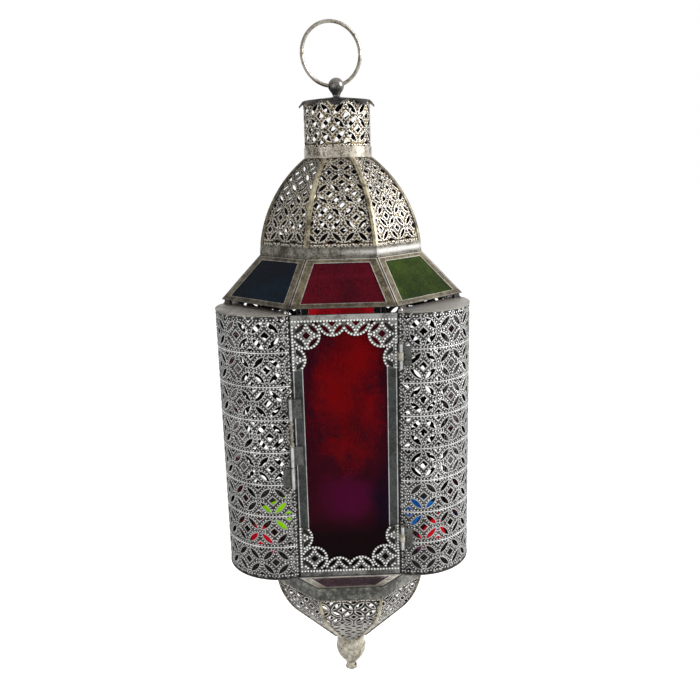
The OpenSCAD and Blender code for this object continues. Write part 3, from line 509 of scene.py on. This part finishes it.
def rib_masks(tree, x, y, z):
    """The ribs on the left and right, where X is the greater, are duller than those in front and behind."""
    beside = ramp(minus(unsigned(x), unsigned(y)), 0.0, 0.005)
    return None, times(beside, 0.6), None


rib_metal = silvered("rib_metal", "b0a68c", "4c4331", 0.48, 0.26, 0.25, masks=rib_masks)
band_foot, band_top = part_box("dome_band")[0][2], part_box("dome_band")[1][2]


def foot_masks(tree, x, y, z):
    """The foot band has painted shade along its edges and at its corners, painted shade on the left, and a
    painted highlight along its middle towards the right.
    """
    across, out = side_fold(x, y)
    corner = to_hip(across, out)
    edge = smaller(minus(z, band_foot), minus(band_top, z))
    middle = ramp(edge, 0.0012, 0.0055)
    hidden = times(minus(1.0, middle), 0.62)
    cornered = times(fade(corner, 0.0008, 0.007), 0.45)
    dull = times(fade(x, -0.04, 0.02), 0.42)
    brightened = times(middle, ramp(x, -0.02, 0.05))
    return brightened, larger(larger(hidden, cornered), dull), None


dress(silvered("foot_metal", "a5a093", "3c372d", 0.5, 0.26, 0.35, masks=foot_masks), "dome_band")
dress(rib_metal, "dome_ribs")


def on_all_sides(points):
    """Points of the front side, turned about the axis to each of the eight sides in turn."""
    sides = []
    for a in np.arange(8) * EIGHTH:
        turn = np.array([[math.cos(a), -math.sin(a), 0], [math.sin(a), math.cos(a), 0], [0, 0, 1]])
        sides.append(points @ turn.T)
    return np.concatenate(sides)


def on_dome(flat):
    """Points and outward directions on the front gore. X is the first number. The second over DOME_R is an
    angle whose cosine carries out from the bow's centre and whose sine carries up, each times DOME_R."""
    turn = flat[:, 1] / DOME_R
    out = table(0.0, -np.cos(turn), np.sin(turn))
    at = out * DOME_R + np.array([0, -DOME_A, DOME_Z])
    at[:, 0] = flat[:, 0]
    return at, out


# Beads follow the circles of each gore's pattern and stand in a row below it, clear of the ribs.
DOME_BEADS_H, ROW_DROP = 0.099, 0.0014
row_x = np.linspace(-0.034, 0.034, 25)
dome_flat = circle_beads(grid_centres(FINE, (-5, 6), (-1, 10)), FINE, count=24)
dome_flat = kept(dome_flat + [DOME_SHIFT, dome_start], 1, dome_start + 0.0008, dome_start + DOME_BEADS_H)
dome_row = table(row_x, dome_start - ROW_DROP)
at, out = on_dome(np.concatenate([thinned(dome_flat, gap=0.0016), dome_row]))
clear = np.abs(at[:, 0]) < -at[:, 1] * HALF_SIDE - RIB_CLEAR
beads("dome_beads", on_all_sides(at[clear]), on_all_sides(out[clear]), warm_beads)

# ----------------------------------------
# Roof: eight panes of coloured glass, each in a frame of folded lead came,
# soldered to each other along the hips. Old drawn glass, rippled and
# seeded, crimson in front, dark navy and dark green beside it.


def glass(name, colour, deep, clear=0.85, tint=None):
    """Drawn glass: its colour clouds into a deeper one, over slow diagonal ripples and fine seeds."""
    material, tree, shader = new_material(name)
    place, xyz = position(tree)
    stretched = tree.nodes.new("ShaderNodeMapping")
    stretched.inputs["Rotation"].default_value = (0.0, math.radians(-32), 0.0)
    stretched.inputs["Scale"].default_value = (3.0, 1.0, 1.0)
    feed(place, stretched.inputs["Vector"])
    streaks = noise(place, 22.0, 4.0)
    fine = noise(stretched.outputs[0], 260.0, 3.0)
    cloud = plus(times(streaks, 0.6), times(fine, 0.4))
    body = blend_colours(tree, ramp(cloud, 0.38, 0.64), hue(colour), hue(deep))
    feed(tint(tree, body, *xyz) if tint else body, shader.inputs["Base Color"])
    shader.inputs["Transmission Weight"].default_value = clear
    shader.inputs["Roughness"].default_value = 0.08
    shader.inputs["IOR"].default_value = 1.1
    waves = noise(stretched.outputs[0], 120.0, 2.0)
    seeds = noise(place, 900.0, 1.0)
    dented(tree, shader, plus(waves, times(seeds, 0.2)), strength=0.25)
    return material


BODY_A, DOME_FOOT_A = 0.12, 0.08  # inner radii of the body's octagon and of the dome's and skirt's feet
HIP_BAR, RAIL, STILE = 0.0087, 0.0056, 0.0099  # widths of the came

# Folded came: painted shadow in the soldered seam along its outer edge, and painted highlights beside it and
# along the lip over the glass. Side and End are the distances from the frame's sides and ends, and the
# lip's distance is how far a place lies outside the opening that the two bar widths leave.
came_edge, came_in, came_out = new_group(
    "came_edge",
    [("Side", "NodeSocketFloat", 0.0), ("End", "NodeSocketFloat", 0.0),
     ("Side bar", "NodeSocketFloat", HIP_BAR), ("End bar", "NodeSocketFloat", RAIL)],
    [("Brightened", "NodeSocketFloat"), ("Recess", "NodeSocketFloat")],
)
seam = smaller(came_in.outputs["Side"], came_in.outputs["End"])
lip = larger(minus(came_in.outputs["Side bar"], came_in.outputs["Side"]),
             minus(came_in.outputs["End bar"], came_in.outputs["End"]))
fold = times(ramp(seam, 0.0005, 0.001), fade(seam, 0.0013, 0.002))
bright_lip = fade(lip, 0.0004, 0.0011)
feed(times(larger(fold, bright_lip), 0.7), came_out.inputs["Brightened"])
feed(fade(seam, 0.0002, 0.0009), came_out.inputs["Recess"])


def came_masks(tree, side, end, side_bar, end_bar):
    """The came's masks at the distances from its frame's sides and nearer end."""
    bars = {"Side": side, "End": end, "Side bar": side_bar, "End bar": end_bar}
    effect = add_group(tree, came_edge, bars)
    return effect.outputs["Brightened"], effect.outputs["Recess"], None


def facet_masks(low_a, low_z, high_a, high_z, dark_share=0.55):
    """Masks of frames on eight sloping sides: Side is the distance to the hip, End runs up the slope."""
    rise = high_z - low_z
    slope = math.hypot(high_a - low_a, rise) / rise
    lean = math.cos(math.atan(HALF_SIDE * abs(high_a - low_a) / (slope * rise)))

    def masks(tree, x, y, z):
        across, out = side_fold(x, y)
        side = times(to_hip(across, out), lean)
        up = times(minus(z, low_z), slope)
        down = times(minus(high_z, z), slope)
        brightened, recess, raised = came_masks(tree, side, smaller(up, down), HIP_BAR, RAIL)
        # Darker along the lower rail, and painted shade on the left side of the lantern.
        dark_rail_and_left_shade = times(fade(up, RAIL - 0.001, RAIL + 0.001), dark_share)
        dark_rail_and_left_shade = larger(dark_rail_and_left_shade, times(fade(x, -0.1, 0.06), 0.3))
        return times(brightened, minus(0.85, dark_rail_and_left_shade)), larger(recess, dark_rail_and_left_shade), raised

    return masks


eaves, roof_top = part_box("roof_frames")[0][2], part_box("roof_frames")[1][2]
roof_masks = facet_masks(BODY_A, eaves, DOME_FOOT_A, roof_top)
dress(silvered("roof_came", "7a7058", "352c1c", 0.55, 0.28, 0.35, masks=roof_masks), "roof_frames")
dress(glass("crimson_glass", "5c0e1c", "380a16", clear=0.4), "roof_pane_s", "roof_pane_e", "roof_pane_w")
dress(glass("navy_glass", "15283a", "0e1824", clear=0.4), "roof_pane_sw")
dress(glass("green_glass", "3a4a1a", "222e14", clear=0.4), "roof_pane_se", "roof_pane_nw")
blue = glass("blue_glass", "1c6ab4", "0e3a78")
magenta = glass("magenta_glass", "b030b0", "601a70")
dress(blue, "roof_pane_ne")
dress(magenta, "roof_pane_n")

# ----------------------------------------
# Wings: four punched sheets bowed out between the body's corners, each made
# of eight strips lapped and soldered, between flat top and bottom plates.
WING_C, WING_R = 0.067895, 0.055123  # X and Y of the arc's centre, and its radius
WING_START, WING_ARC = math.radians(-19.048), 0.123238  # turn to the arc's first edge, and its length
STRIPS, STRIP, HEM = 8, 0.0323, 0.0015  # number and height of strips, and the edge below the lowest
COARSE = 0.0146  # radius of the pattern's circles
FIRST_CIRCLE = 0.0228  # the first centre along the arc
body_foot, body_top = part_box("wing_screen_se")[0][2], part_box("wing_screen_se")[1][2]


def wing_masks(tree, x, y, z):
    """The wings mirror each other, so X and Y lose their signs. Along starts at each strip's middle."""
    east = minus(unsigned(x), WING_C)
    south = minus(unsigned(y), WING_C)
    turn = minus(maths("ARCTAN2", east, south), WING_START)
    across = minus(times(turn, WING_R), FIRST_CIRCLE)
    height = minus(z, body_foot + HEM)
    strip = maths("FLOOR", maths("DIVIDE", height, STRIP))
    along = minus(minus(height, times(strip, STRIP)), STRIP / 2)
    depth = minus(WING_R, length_of(east, south))
    brightened, recess, raised = punched(tree, across, along, COARSE, COARSE_WEB, depth, dark_share=0.85)
    under_lap = unsigned(minus(along, STRIP / 2 - 0.0013))
    shadow = fade(under_lap, 0.0003, 0.0008)
    # The sheet is darker towards the end where each wing's arc starts, and towards the bottom.
    darkening = times(fade(across, -0.021, 0.01), 0.4)
    darkening = plus(darkening, times(fade(height, 0.0, 4 * STRIP), 0.3))
    return brightened, larger(larger(recess, shadow), darkening), raised


dress(silvered("wing_sheet", "8e8d89", "22201c", 0.7, 0.25, 0.5, masks=wing_masks),
      "wing_screen_se", "wing_screen_sw", "wing_screen_ne", "wing_screen_nw")
dress(silvered("plate_metal", "8f8b84", "5a554c", 0.4, 0.4, 0.2), "wing_top_plates")
solder = silvered("solder", "dedcd6", "8b8577", 0.25, 0.22, 0.5, 3.0)
# Dark metal for the base plates, base ring, corner posts, roof tabs and candle tray.
dark_plate = silvered("dark_plate", "4a4844", "1c1a18", 0.5, 0.4, 0.2)
dress(dark_plate, "wing_base_plates", "base_ring", "corner_posts", "roof_tabs")


def on_wing(flat, sx, sy):
    """Points and outward directions on a wing. The turn is WING_START plus the first number over WING_R;
    out is its sine in X and cosine in Y, with the wing's signs, and the second number is Z."""
    turn = WING_START + flat[:, 0] / WING_R
    out = table(sx * np.sin(turn), sy * np.cos(turn), 0.0)
    at = out * WING_R + np.array([sx * WING_C, sy * WING_C, 0]) + np.outer(flat[:, 1], [0, 0, 1])
    return at, out


# Beads of one strip, along its arc and up from its middle: along the circles, and in rows beside its
# edges. All eight strips repeat them, and a column stands beside each end of the arc.
ROUND_BEADS_H, ROW_H, ROW_PITCH = 0.0132, 0.01455, 0.0032
whole_centres = [(FIRST_CIRCLE + m * 2 * COARSE, 0.0) for m in range(-1, 4)]
half_centres = [(FIRST_CIRCLE + (2 * m + 1) * COARSE, s * COARSE) for m in range(-2, 4) for s in (-1, 1)]
strip_flat = circle_beads(whole_centres + half_centres, COARSE, count=32)
strip_flat = thinned(kept(strip_flat, 1, -ROUND_BEADS_H, ROUND_BEADS_H), gap=0.0018)
row_s = np.arange(0.0042, WING_ARC - 0.003, ROW_PITCH)
strip_flat = np.concatenate([strip_flat, table(row_s, -ROW_H), table(row_s, ROW_H)])
strip_flat = kept(strip_flat, 0, 0.0035, WING_ARC - 0.0035)
mids = body_foot + HEM + (np.arange(STRIPS) + 0.5) * STRIP
wing_flat = (strip_flat[None] + table(0.0, mids)[:, None]).reshape(-1, 2)
column = np.arange(body_foot + 0.003, body_top - 0.002, ROW_PITCH)
edges = [table(s, column) for s in (0.0019, WING_ARC - 0.0019)]
wing_flat = np.concatenate([wing_flat, *edges])

# A lap's section from its foot: height and stand in millimetres, and how lit it is painted, from shade at
# its edges to a highlight along its crown.
LAP = np.array([(-0.9, -0.2, 0.0), (-0.85, 0.3, 0.2), (-0.4, 0.46, 1.0), (0.3, 0.44, 1.0),
                (0.8, 0.25, 0.5), (0.9, -0.2, 0.2)])
LAP = LAP / (1000, 1000, 1)


def laps(name, sx, sy):
    """The rolled lower edge of each strip but the lowest: the lap's section, heights added to Z and stands
    outwards, carried round the arc."""
    arc = np.linspace(0.0012, WING_ARC - 0.0012, 57)
    floors = body_foot + HEM + np.arange(1, STRIPS) * STRIP
    flat = table(arc[None, :, None], floors[:, None, None] + LAP[None, None, :, 0])
    at, out = on_wing(flat.reshape(-1, 2), sx, sy)
    stand, lit = (np.tile(LAP[:, i], len(floors) * len(arc)) for i in (1, 2))
    at = at + out * stand[:, None]
    index = np.arange(len(at)).reshape(len(floors), len(arc), len(LAP))
    after = np.roll(index, -1, axis=2)
    quads = table(index[:, :-1], index[:, 1:], after[:, 1:], after[:, :-1]).reshape(-1, 4)
    ends = np.concatenate([index[:, 0], index[:, -1, ::-1]])
    if sx * sy > 0:
        quads, ends = quads[:, ::-1], ends[:, ::-1]
    put_piece(name, at, quads.tolist() + ends.tolist(), "lantern", cool_beads, lit=lit)


def solder_run(name, path, radii):
    """A run of solder: at each point of the path its radius times the cosine and sine of eight even turns,
    square to the way ahead; the tips are closed."""
    ahead = np.gradient(path, axis=0)
    ahead /= np.linalg.norm(ahead, axis=1, keepdims=True)
    east = np.cross(ahead, [0.31, 0.27, 0.91])
    east /= np.linalg.norm(east, axis=1, keepdims=True)
    north = np.cross(ahead, east)
    a = (np.arange(8) * EIGHTH)[None, :, None]
    rings = path[:, None] + (east[:, None] * np.cos(a) + north[:, None] * np.sin(a)) * radii[:, None, None]
    verts = np.concatenate([rings.reshape(-1, 3), path[[0, -1]]])
    k, row = np.arange(8), np.arange(len(path) - 1)[:, None] * 8
    after = (k + 1) % 8
    quads = table(row + k, row + after, row + after + 8, row + k + 8).reshape(-1, 4)
    last = (len(path) - 1) * 8
    caps = np.concatenate([table(after, k, len(verts) - 2), table(last + k, last + after, len(verts) - 1)])
    put_piece(name, verts, quads.tolist() + caps.tolist(), "lantern", solder)


# Each curl runs outwards and slows as the cube of its share t, waves in Y as a sine, and is highest
# and thickest about its middle.
plate_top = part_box("wing_top_plates")[1][2]
for name, sx in (("left", -1), ("right", 1)):
    t = np.linspace(0, 1, 12)
    curl_x = sx * (0.0505 + 0.0052 * t - 0.003 * t ** 3)
    curl_y = -0.1178 + 0.0016 * np.sin(5 * t)
    curl_z = plate_top + 0.0004 + 0.0012 * np.sin(math.pi * t) ** 2
    radii = 0.0003 + 0.0008 * np.sin(math.pi * (0.12 + 0.76 * t))
    solder_run("solder_curl_" + name, table(curl_x, curl_y, curl_z), radii)

for name, (sx, sy) in dict(se=(1, -1), sw=(-1, -1), ne=(1, 1), nw=(-1, 1)).items():
    beads("wing_beads_" + name, *on_wing(wing_flat, sx, sy), cool_beads)
    laps("wing_laps_" + name, sx, sy)

# ----------------------------------------
# Side panels and door: a red pane in a frame of folded came. The door's pane
# is hand-flashed, with a purple cloud low down. Pierced lace with beaded
# edges is soldered over its top and bottom.
LACE_R, LACE_BAND_H, LACE_LEG = 0.0132, 0.006, 0.052  # circles, plain band, and height at the sides
frame_low, frame_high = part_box("door_frame")
side_low, side_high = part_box("side_frames")
door_half_w = (frame_high[0] - frame_low[0]) / 2
panel_half_w = BODY_A * HALF_SIDE

# The lace's circles, in from the door's side and from its end: one in the corner, and two that
# touch it, one by the side and one by the end.
side_x, end_y = 0.0004, LACE_BAND_H + 0.001
lace_corner = np.array([LACE_R + 0.001, LACE_BAND_H + LACE_R - 0.0005])
up = math.sqrt((2 * LACE_R) ** 2 - (lace_corner[0] - side_x) ** 2)
along = math.sqrt((2 * LACE_R) ** 2 - (lace_corner[1] - end_y) ** 2)
lace_side = np.array([side_x, lace_corner[1] + up])
lace_top = np.array([lace_corner[0] + along, end_y])
lace_centres = np.array([lace_corner, lace_side, lace_top])


def from_centre(side, end, centre):
    """A place's offsets from one of the lace's centres."""
    return minus(side, float(centre[0])), minus(end, float(centre[1]))


def upright_masks(half_w, low_z, high_z, lace):
    """Masks of an upright frame; with lace, painted shade fills the frame behind the lace's pierced circles.
    """

    def masks(tree, x, y, z):
        across, out = side_fold(x, y)
        side = minus(half_w, unsigned(across))
        end = smaller(minus(z, low_z), minus(high_z, z))
        brightened, recess, raised = came_masks(tree, side, end, STILE, RAIL)
        for centre in lace_centres if lace else ():
            away = length_of(*from_centre(side, end, centre))
            behind = fade(away, LACE_R - 0.0022, LACE_R - 0.0014)
            recess = larger(recess, behind)
        return brightened, recess, raised

    return masks


FRAME = "3b3e3d", "202220", 0.5, 0.3, 0.35  # in the order of WARM_SHEET
door_masks = upright_masks(door_half_w, frame_low[2], frame_high[2], lace=True)
side_masks = upright_masks(panel_half_w, side_low[2], side_high[2], lace=False)
dress(silvered("door_came", *FRAME, masks=door_masks), "door_frame")
side_came = silvered("side_came", *FRAME, masks=side_masks)

# Four arcs inside each circle, of radius LEAF_R about centres on its diagonals, LEAF_OUT away.
LEAF_R, LEAF_OUT = LACE_R * 0.98, LACE_R * 1.38
leaf_at = LEAF_OUT * math.sqrt(0.5)


def lace_masks(z_edge, down):
    """Oxide between the beads, which follow each circle's edge and four arcs inside it."""

    def masks(tree, x, y, z):
        side = minus(lace_half_w, unsigned(x))
        end = times(minus(z, z_edge), down)
        darkened = None
        for centre in lace_centres:
            u, v = (unsigned(offset) for offset in from_centre(side, end, centre))
            away = length_of(u, v)
            leaf = length_of(minus(u, leaf_at), minus(v, leaf_at))
            ring_line = unsigned(minus(away, LACE_R - 0.0011))
            arc_line = unsigned(minus(leaf, LEAF_R))
            arc_line = plus(arc_line, ramp(away, LACE_R - 0.0022, LACE_R - 0.0012))
            line = smaller(ring_line, arc_line)
            inside = fade(away, LACE_R + 0.0002, LACE_R + 0.0005)
            here = times(fade(line, 0.0011, 0.0017), inside)
            darkened = here if darkened is None else larger(darkened, here)
        below = ramp(end, LACE_BAND_H - 0.0014, LACE_BAND_H - 0.0008)
        return None, times(times(darkened, 0.8), below), None

    return masks


lace_low, lace_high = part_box("door_lace_top")
lace_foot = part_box("door_lace_bottom")[0][2]
lace_half_w = (lace_high[0] - lace_low[0]) / 2
hanging, standing = lace_masks(lace_high[2], -1), lace_masks(lace_foot, 1)
dress(silvered("upper_lace", "9c9d99", "45433d", 0.45, 0.26, 0.35, masks=hanging), "door_lace_top")
# The lower lace is a darker copy of the upper lace: painted shade.
dress(silvered("lower_lace", "777774", "33312d", 0.5, 0.28, 0.35, masks=standing), "door_lace_bottom")


def patch(tree, x, height, at_x, at_height, half_w, half_h):
    """1 inside an oval cloud and 0 outside: the length of two offsets over the half sizes, made wavy."""
    reach = length_of(maths("DIVIDE", minus(x, at_x), half_w),
                      maths("DIVIDE", minus(height, at_height), half_h))
    drift = minus(noise(position(tree)[0], 45.0, 5.0, 0.75), 0.5)
    return fade(plus(reach, times(drift, 2.4)), 0.3, 1.5)


def door_tint(tree, body, x, y, z):
    """Red in an oval above the middle, wine towards the edges, purple in a patch low down, and nearly black
    to the right of it and at the foot, where the black is painted shade of the dark inside seen through the
    glass."""
    wine = blend_colours(tree, 0.88, body, hue("2e0418"))
    height = minus(z, frame_low[2])
    upper = blend_colours(tree, patch(tree, x, height, 0.001, 0.2026, 0.028, 0.09), wine, body)
    low = blend_colours(tree, patch(tree, x, height, 0.001, 0.0786, 0.03, 0.024), upper, hue("50042e"))
    low = blend_colours(tree, patch(tree, x, height, 0.035, 0.0736, 0.013, 0.035), low, hue("1c041e"))
    drift = times(noise(position(tree)[0], 40.0, 3.0), 0.02)
    # Painted shade: the pane turns nearly black towards its foot.
    foot = fade(plus(height, drift), 0.0466, 0.0806)
    return blend_colours(tree, times(foot, 0.88), low, hue("0a0306"))


dress(glass("door_red", "820408", "56030c", clear=0.4, tint=door_tint), "door_pane")
dress(glass("side_red", "6a141c", "3c0c14", clear=0.4), "side_pane_e", "side_pane_w")
dress(glass("back_red", "b4101a", "6a0c14"), "side_pane_n")
dress(side_came, "side_frames")

rings = circle_beads(lace_centres, LACE_R - 0.0011, count=26)
diagonals = (np.arange(4) * 2 + 1) * EIGHTH
leaf_offsets = LEAF_OUT * table(np.cos(diagonals), np.sin(diagonals))
leaf_centres = (lace_centres[:, None] + leaf_offsets).reshape(-1, 2)
inner = circle_beads(leaf_centres, LEAF_R, count=28).reshape(len(lace_centres), -1, 2)
inner = inner[np.linalg.norm(inner - lace_centres[:, None], axis=2) < LACE_R - 0.0028]
band_y, leg_end, pitch = LACE_BAND_H - 0.0006, LACE_LEG - 0.001, 0.0029  # of the straight rows
lace_flat = kept(np.concatenate([rings, inner]), 0, 0.0012, lace_half_w)
lace_flat = kept(lace_flat, 1, band_y, leg_end)
band_row = table(np.arange(0.0016, lace_half_w, pitch), band_y)
leg_row = table(0.0014, np.arange(LACE_BAND_H + 0.0014, leg_end, pitch))
lace_flat = thinned(np.concatenate([band_row, leg_row, lace_flat]), gap=0.0021)
lace_bead = silvered("lace_bead", "babab4", "5c5850", 0.3, 0.22, 0.1, masks=bead_masks)
for name, z, down in (("top", lace_high[2], -1), ("bottom", lace_foot, 1)):
    across, height = lace_flat[:, 0] - lace_half_w, z + down * lace_flat[:, 1]
    at = np.concatenate([table(s * across, lace_low[1], height) for s in (-1, 1)])
    ups = np.tile([0.0, -1.0, 0.0], (len(at), 1))
    beads("lace_beads_" + name, at, ups, lace_bead, body="door", size=1.2)

# Door stops: two folded strips behind the door's upright edges, soldered to the base ring and the
# top plates. The section, half across by half deep with its corners cut, is carried straight up.
STOP_X, STOP_Y, STOP_W, STOP_T = 0.0494, -0.1146, 0.0042, 0.0007  # place, width and thickness
stop_section = np.array([(-1, -0.4), (-0.92, -1), (0.92, -1), (1, -0.4), (1, 0.4), (0.92, 1), (-0.92, 1),
                         (-1, 0.4)])
stop_section = stop_section * (STOP_W / 2, STOP_T / 2)
k = np.arange(8)
after = (k + 1) % 8
stop_faces = table(k, after, after + 8, k + 8).tolist() + [k[::-1].tolist(), (k + 8).tolist()]
for name, sx in (("left", -1), ("right", 1)):
    levels = np.repeat([[side_low[2]], [side_high[2]]], 8, axis=0)
    strip = np.concatenate([np.tile(stop_section + (sx * STOP_X, STOP_Y), (2, 1)), levels], 1)
    put_piece("door_stop_" + name, strip, stop_faces, "lantern", side_came, smooth=False)

# ----------------------------------------
# Hinges and drop bolt: rolled tubes with flat leaves, soldered to the wing
# and the door, on plain wire pins. The bolt is a bright wire with a tab.


def leaf_masks(tree, x, y, z):
    """Flat leaves are dull; the rolled tube, on both sides of the pin, is rubbed bright."""
    from_pin = unsigned(minus(unsigned(x), PIN_X))
    tube = fade(from_pin, 0.0008, 0.0016)
    return times(tube, 0.75), None, None


pin_low, pin_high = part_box("hinge_pins")
PIN_X = (pin_low[0] + pin_high[0]) / 2
dress(silvered("leaf_metal", "5c5d59", "2e2e2a", 0.45, 0.3, 0.3, masks=leaf_masks),
      "hinge_leaves", "bolt_guides", "bolt_keeper")
dress(silvered("tube_metal", "a8a394", "575140", 0.4, 0.28, 0.25), "door_knuckles")
dress(ring_steel, "hinge_pins", "door_bolt")

# ----------------------------------------
# Skirt: eight panes of coloured glass in came frames, leaning inwards under
# the body, and inside it the tray and the cup that hold the candle.
skirt_low, skirt_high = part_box("skirt_frames")
skirt_masks = facet_masks(DOME_FOOT_A, skirt_low[2], BODY_A, skirt_high[2], dark_share=0.1)
dress(silvered("skirt_came", "a09680", "4a4234", 0.5, 0.26, 0.35, masks=skirt_masks), "skirt_frames")
dress(glass("smoky_glass", "86566c", "4a303e"), "skirt_pane_s")
dress(glass("lime_glass", "8cc814", "5a9010"), "skirt_pane_nw", "skirt_pane_se")
dress(glass("skirt_red", "c81420", "8a0c18"), "skirt_pane_w", "skirt_pane_e")
dress(blue, "skirt_pane_ne", "skirt_pane_sw")
dress(magenta, "skirt_pane_n")
dress(dark_plate, "candle_tray")
dress(silvered("band_metal", "a8a49a", "4a443a", 0.48, 0.26, 0.3), "candle_cup")

# ----------------------------------------
# Bowl and finial: eight punched gores that close inwards, with ribs and a
# plain rim band, and a spun finial with a hole for a tassel.
BOWL_A, BOWL_R = -0.0122, 0.092  # where the bow's centre lies, out from the axis, and its radius
BOWL_SHIFT = 0.0028
BOWL_BAND_H = 0.015
BOWL_ROW_HALF = 0.0295  # the row of beads on each gore ends here, across from its middle
SHOULDER = np.array([0.06086, -0.055915])  # out from the axis and up from the rim
RUN_FOOT_A = 0.016262
bowl_low, bowl_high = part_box("bowl_panels")
bowl_foot, bowl_top = bowl_low[2], bowl_high[2]
run = np.array([RUN_FOOT_A - SHOULDER[0], bowl_foot - bowl_top - SHOULDER[1]])
run /= float(np.hypot(*run))  # the way down the straight run, out and up
bowl_start = BOWL_R * math.asin((BOWL_BAND_H + BORDER) / BOWL_R)
bow_length = BOWL_R * math.atan2(-SHOULDER[1], SHOULDER[0] - BOWL_A)


def bowl_masks(tree, x, y, z):
    """Along runs down the bow and then down the straight run, which hands have rubbed all over."""
    across, out = side_fold(x, y)
    fall = minus(bowl_top, z)
    away = minus(out, BOWL_A)
    shoulder_out, shoulder_up = (float(a) for a in SHOULDER)
    run_out, run_up = (float(a) for a in run)
    on_run = maths("GREATER_THAN", fall, -shoulder_up)
    bow_along = times(maths("ARCTAN2", fall, away), BOWL_R)
    fallen = plus(fall, shoulder_up)
    run_along = plus(maths("DIVIDE", fallen, -run_up), bow_length)
    bow_depth = minus(BOWL_R, length_of(away, fall))
    run_depth = times(minus(out, shoulder_out), run_up)
    run_depth = plus(run_depth, times(fallen, run_out))

    def chosen(bow_value, run_value):
        """The first value on the bow and the second on the straight run."""
        return plus(times(minus(1.0, on_run), bow_value), times(on_run, run_value))

    shifted = minus(across, BOWL_SHIFT)
    along = minus(chosen(bow_along, run_along), bowl_start)
    depth, dark_share = chosen(bow_depth, run_depth), chosen(0.5, 0.08)
    brightened, recess, raised = punched(tree, shifted, along, FINE, FINE_WEB, depth, dark_share)
    handled = larger(times(brightened, chosen(1.0, 0.6)), chosen(0.0, 0.5))
    return handled, recess, raised


dress(silvered("bowl_sheet", "b4a98f", "241d12", 0.8, 0.26, 0.5, masks=bowl_masks), "bowl_panels")
dress(silvered("finial_metal", "aea899", "4e4736", 0.48, 0.24, 0.3, 2.0), "finial")
dress(rib_metal, "bowl_ribs")
dress(silvered("bowl_steel", "76766e", "2c2c28", 0.56, 0.28, 0.35, 1.4), "bowl_band")


def on_bowl(flat):
    """As on_dome, but the bow's centre is level with the rim and the sine of the angle carries down."""
    turn = flat[:, 1] / BOWL_R
    out = table(0.0, -np.cos(turn), -np.sin(turn))
    at = out * BOWL_R + np.array([0, -BOWL_A, bowl_top])
    at[:, 0] = flat[:, 0]
    return at, out


row_at, row_out = on_bowl(table(row_x[np.abs(row_x) < BOWL_ROW_HALF], bowl_start - ROW_DROP))
beads("bowl_beads", on_all_sides(row_at), on_all_sides(row_out), warm_beads)

# ----------------------------------------
# Studio: a plain pale floor far below, a pale backdrop, a large soft lamp from
# the right and a weaker one from the left, and the camera a little above.
FAR, DROP = 6.0, 0.35  # half the floor's side, and how far it lies below the part
WHITE = (1, 1, 1, 1)


def seen_directly(tree):
    """1 for camera, glossy and transmission rays, and 0 for those that carry light to the part."""
    path = tree.nodes.new("ShaderNodeLightPath")
    mirrored = larger(path.outputs["Is Glossy Ray"], path.outputs["Is Transmission Ray"])
    return larger(path.outputs["Is Camera Ray"], mirrored)


floor_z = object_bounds()[0][2] - DROP
floor_mesh = bpy.data.meshes.new("floor")
corners = [(x * FAR, y * FAR, floor_z) for x, y in ((-1, -1), (1, -1), (1, 1), (-1, 1))]
floor_mesh.from_pydata(corners, [], [(0, 1, 2, 3)])
floor = placed("floor", floor_mesh)
paper = bpy.data.materials.new("paper")
paper.use_nodes = True
tree = paper.node_tree
tree.nodes.clear()
plain = tree.nodes.new("ShaderNodeBsdfDiffuse")
plain.inputs["Color"].default_value = (0.8, 0.8, 0.8, 1)
glow = tree.nodes.new("ShaderNodeEmission")
glow.inputs["Color"].default_value = WHITE
glow.inputs["Strength"].default_value = 0.62
both = tree.nodes.new("ShaderNodeAddShader")
seen = tree.nodes.new("ShaderNodeMixShader")
feed(plain.outputs[0], both.inputs[0])
feed(glow.outputs[0], both.inputs[1])
feed(seen_directly(tree), seen.inputs["Fac"])
feed(plain.outputs[0], seen.inputs[1])
feed(both.outputs[0], seen.inputs[2])
feed(seen.outputs[0], tree.nodes.new("ShaderNodeOutputMaterial").inputs["Surface"])
floor_mesh.materials.append(paper)

world = bpy.data.worlds.new("studio")
bpy.context.scene.world = world
world.use_nodes = True
tree = world.node_tree
tree.nodes.clear()
split = tree.nodes.new("ShaderNodeSeparateXYZ")
feed(tree.nodes.new("ShaderNodeTexCoord").outputs["Generated"], split.inputs[0])
slope = ramp(split.outputs["X"], -0.9, 0.9)
wall = blend_colours(tree, slope, (0.16, 0.16, 0.17, 1), (0.95, 0.95, 0.95, 1))
shade = tree.nodes.new("ShaderNodeBackground")
feed(blend_colours(tree, seen_directly(tree), wall, WHITE), shade.inputs["Color"])
feed(shade.outputs[0], tree.nodes.new("ShaderNodeOutputWorld").inputs["Surface"])


def lamp(name, at, aim, size, power):
    """A square area lamp at a place, turned towards a point."""
    data = bpy.data.lights.new(name, "AREA")
    data.size, data.energy = size, power
    light = placed(name, data)
    light.location = at
    away = Vector(at) - Vector(aim)
    light.rotation_euler = away.to_track_quat("Z", "Y").to_euler()


centre = (0, 0, -0.36)
lamp("key", (1.4, -0.3, 0.45), centre, size=0.8, power=46.0)
lamp("fill", (-1.2, -1.0, -0.1), centre, size=1.0, power=4.0)

camera_data = bpy.data.cameras.new("camera")
camera_data.sensor_width = 36.0
camera_data.lens = 39.257
camera_data.clip_start = 0.01
camera = placed("camera", camera_data)
camera.location = (-0.007922, -0.802646, -0.140948)
camera.rotation_euler = [math.radians(a) for a in (76.7728, 1.3892, -1.4153)]
bpy.context.scene.camera = camera
bpy.context.scene.view_settings.view_transform = "Standard"
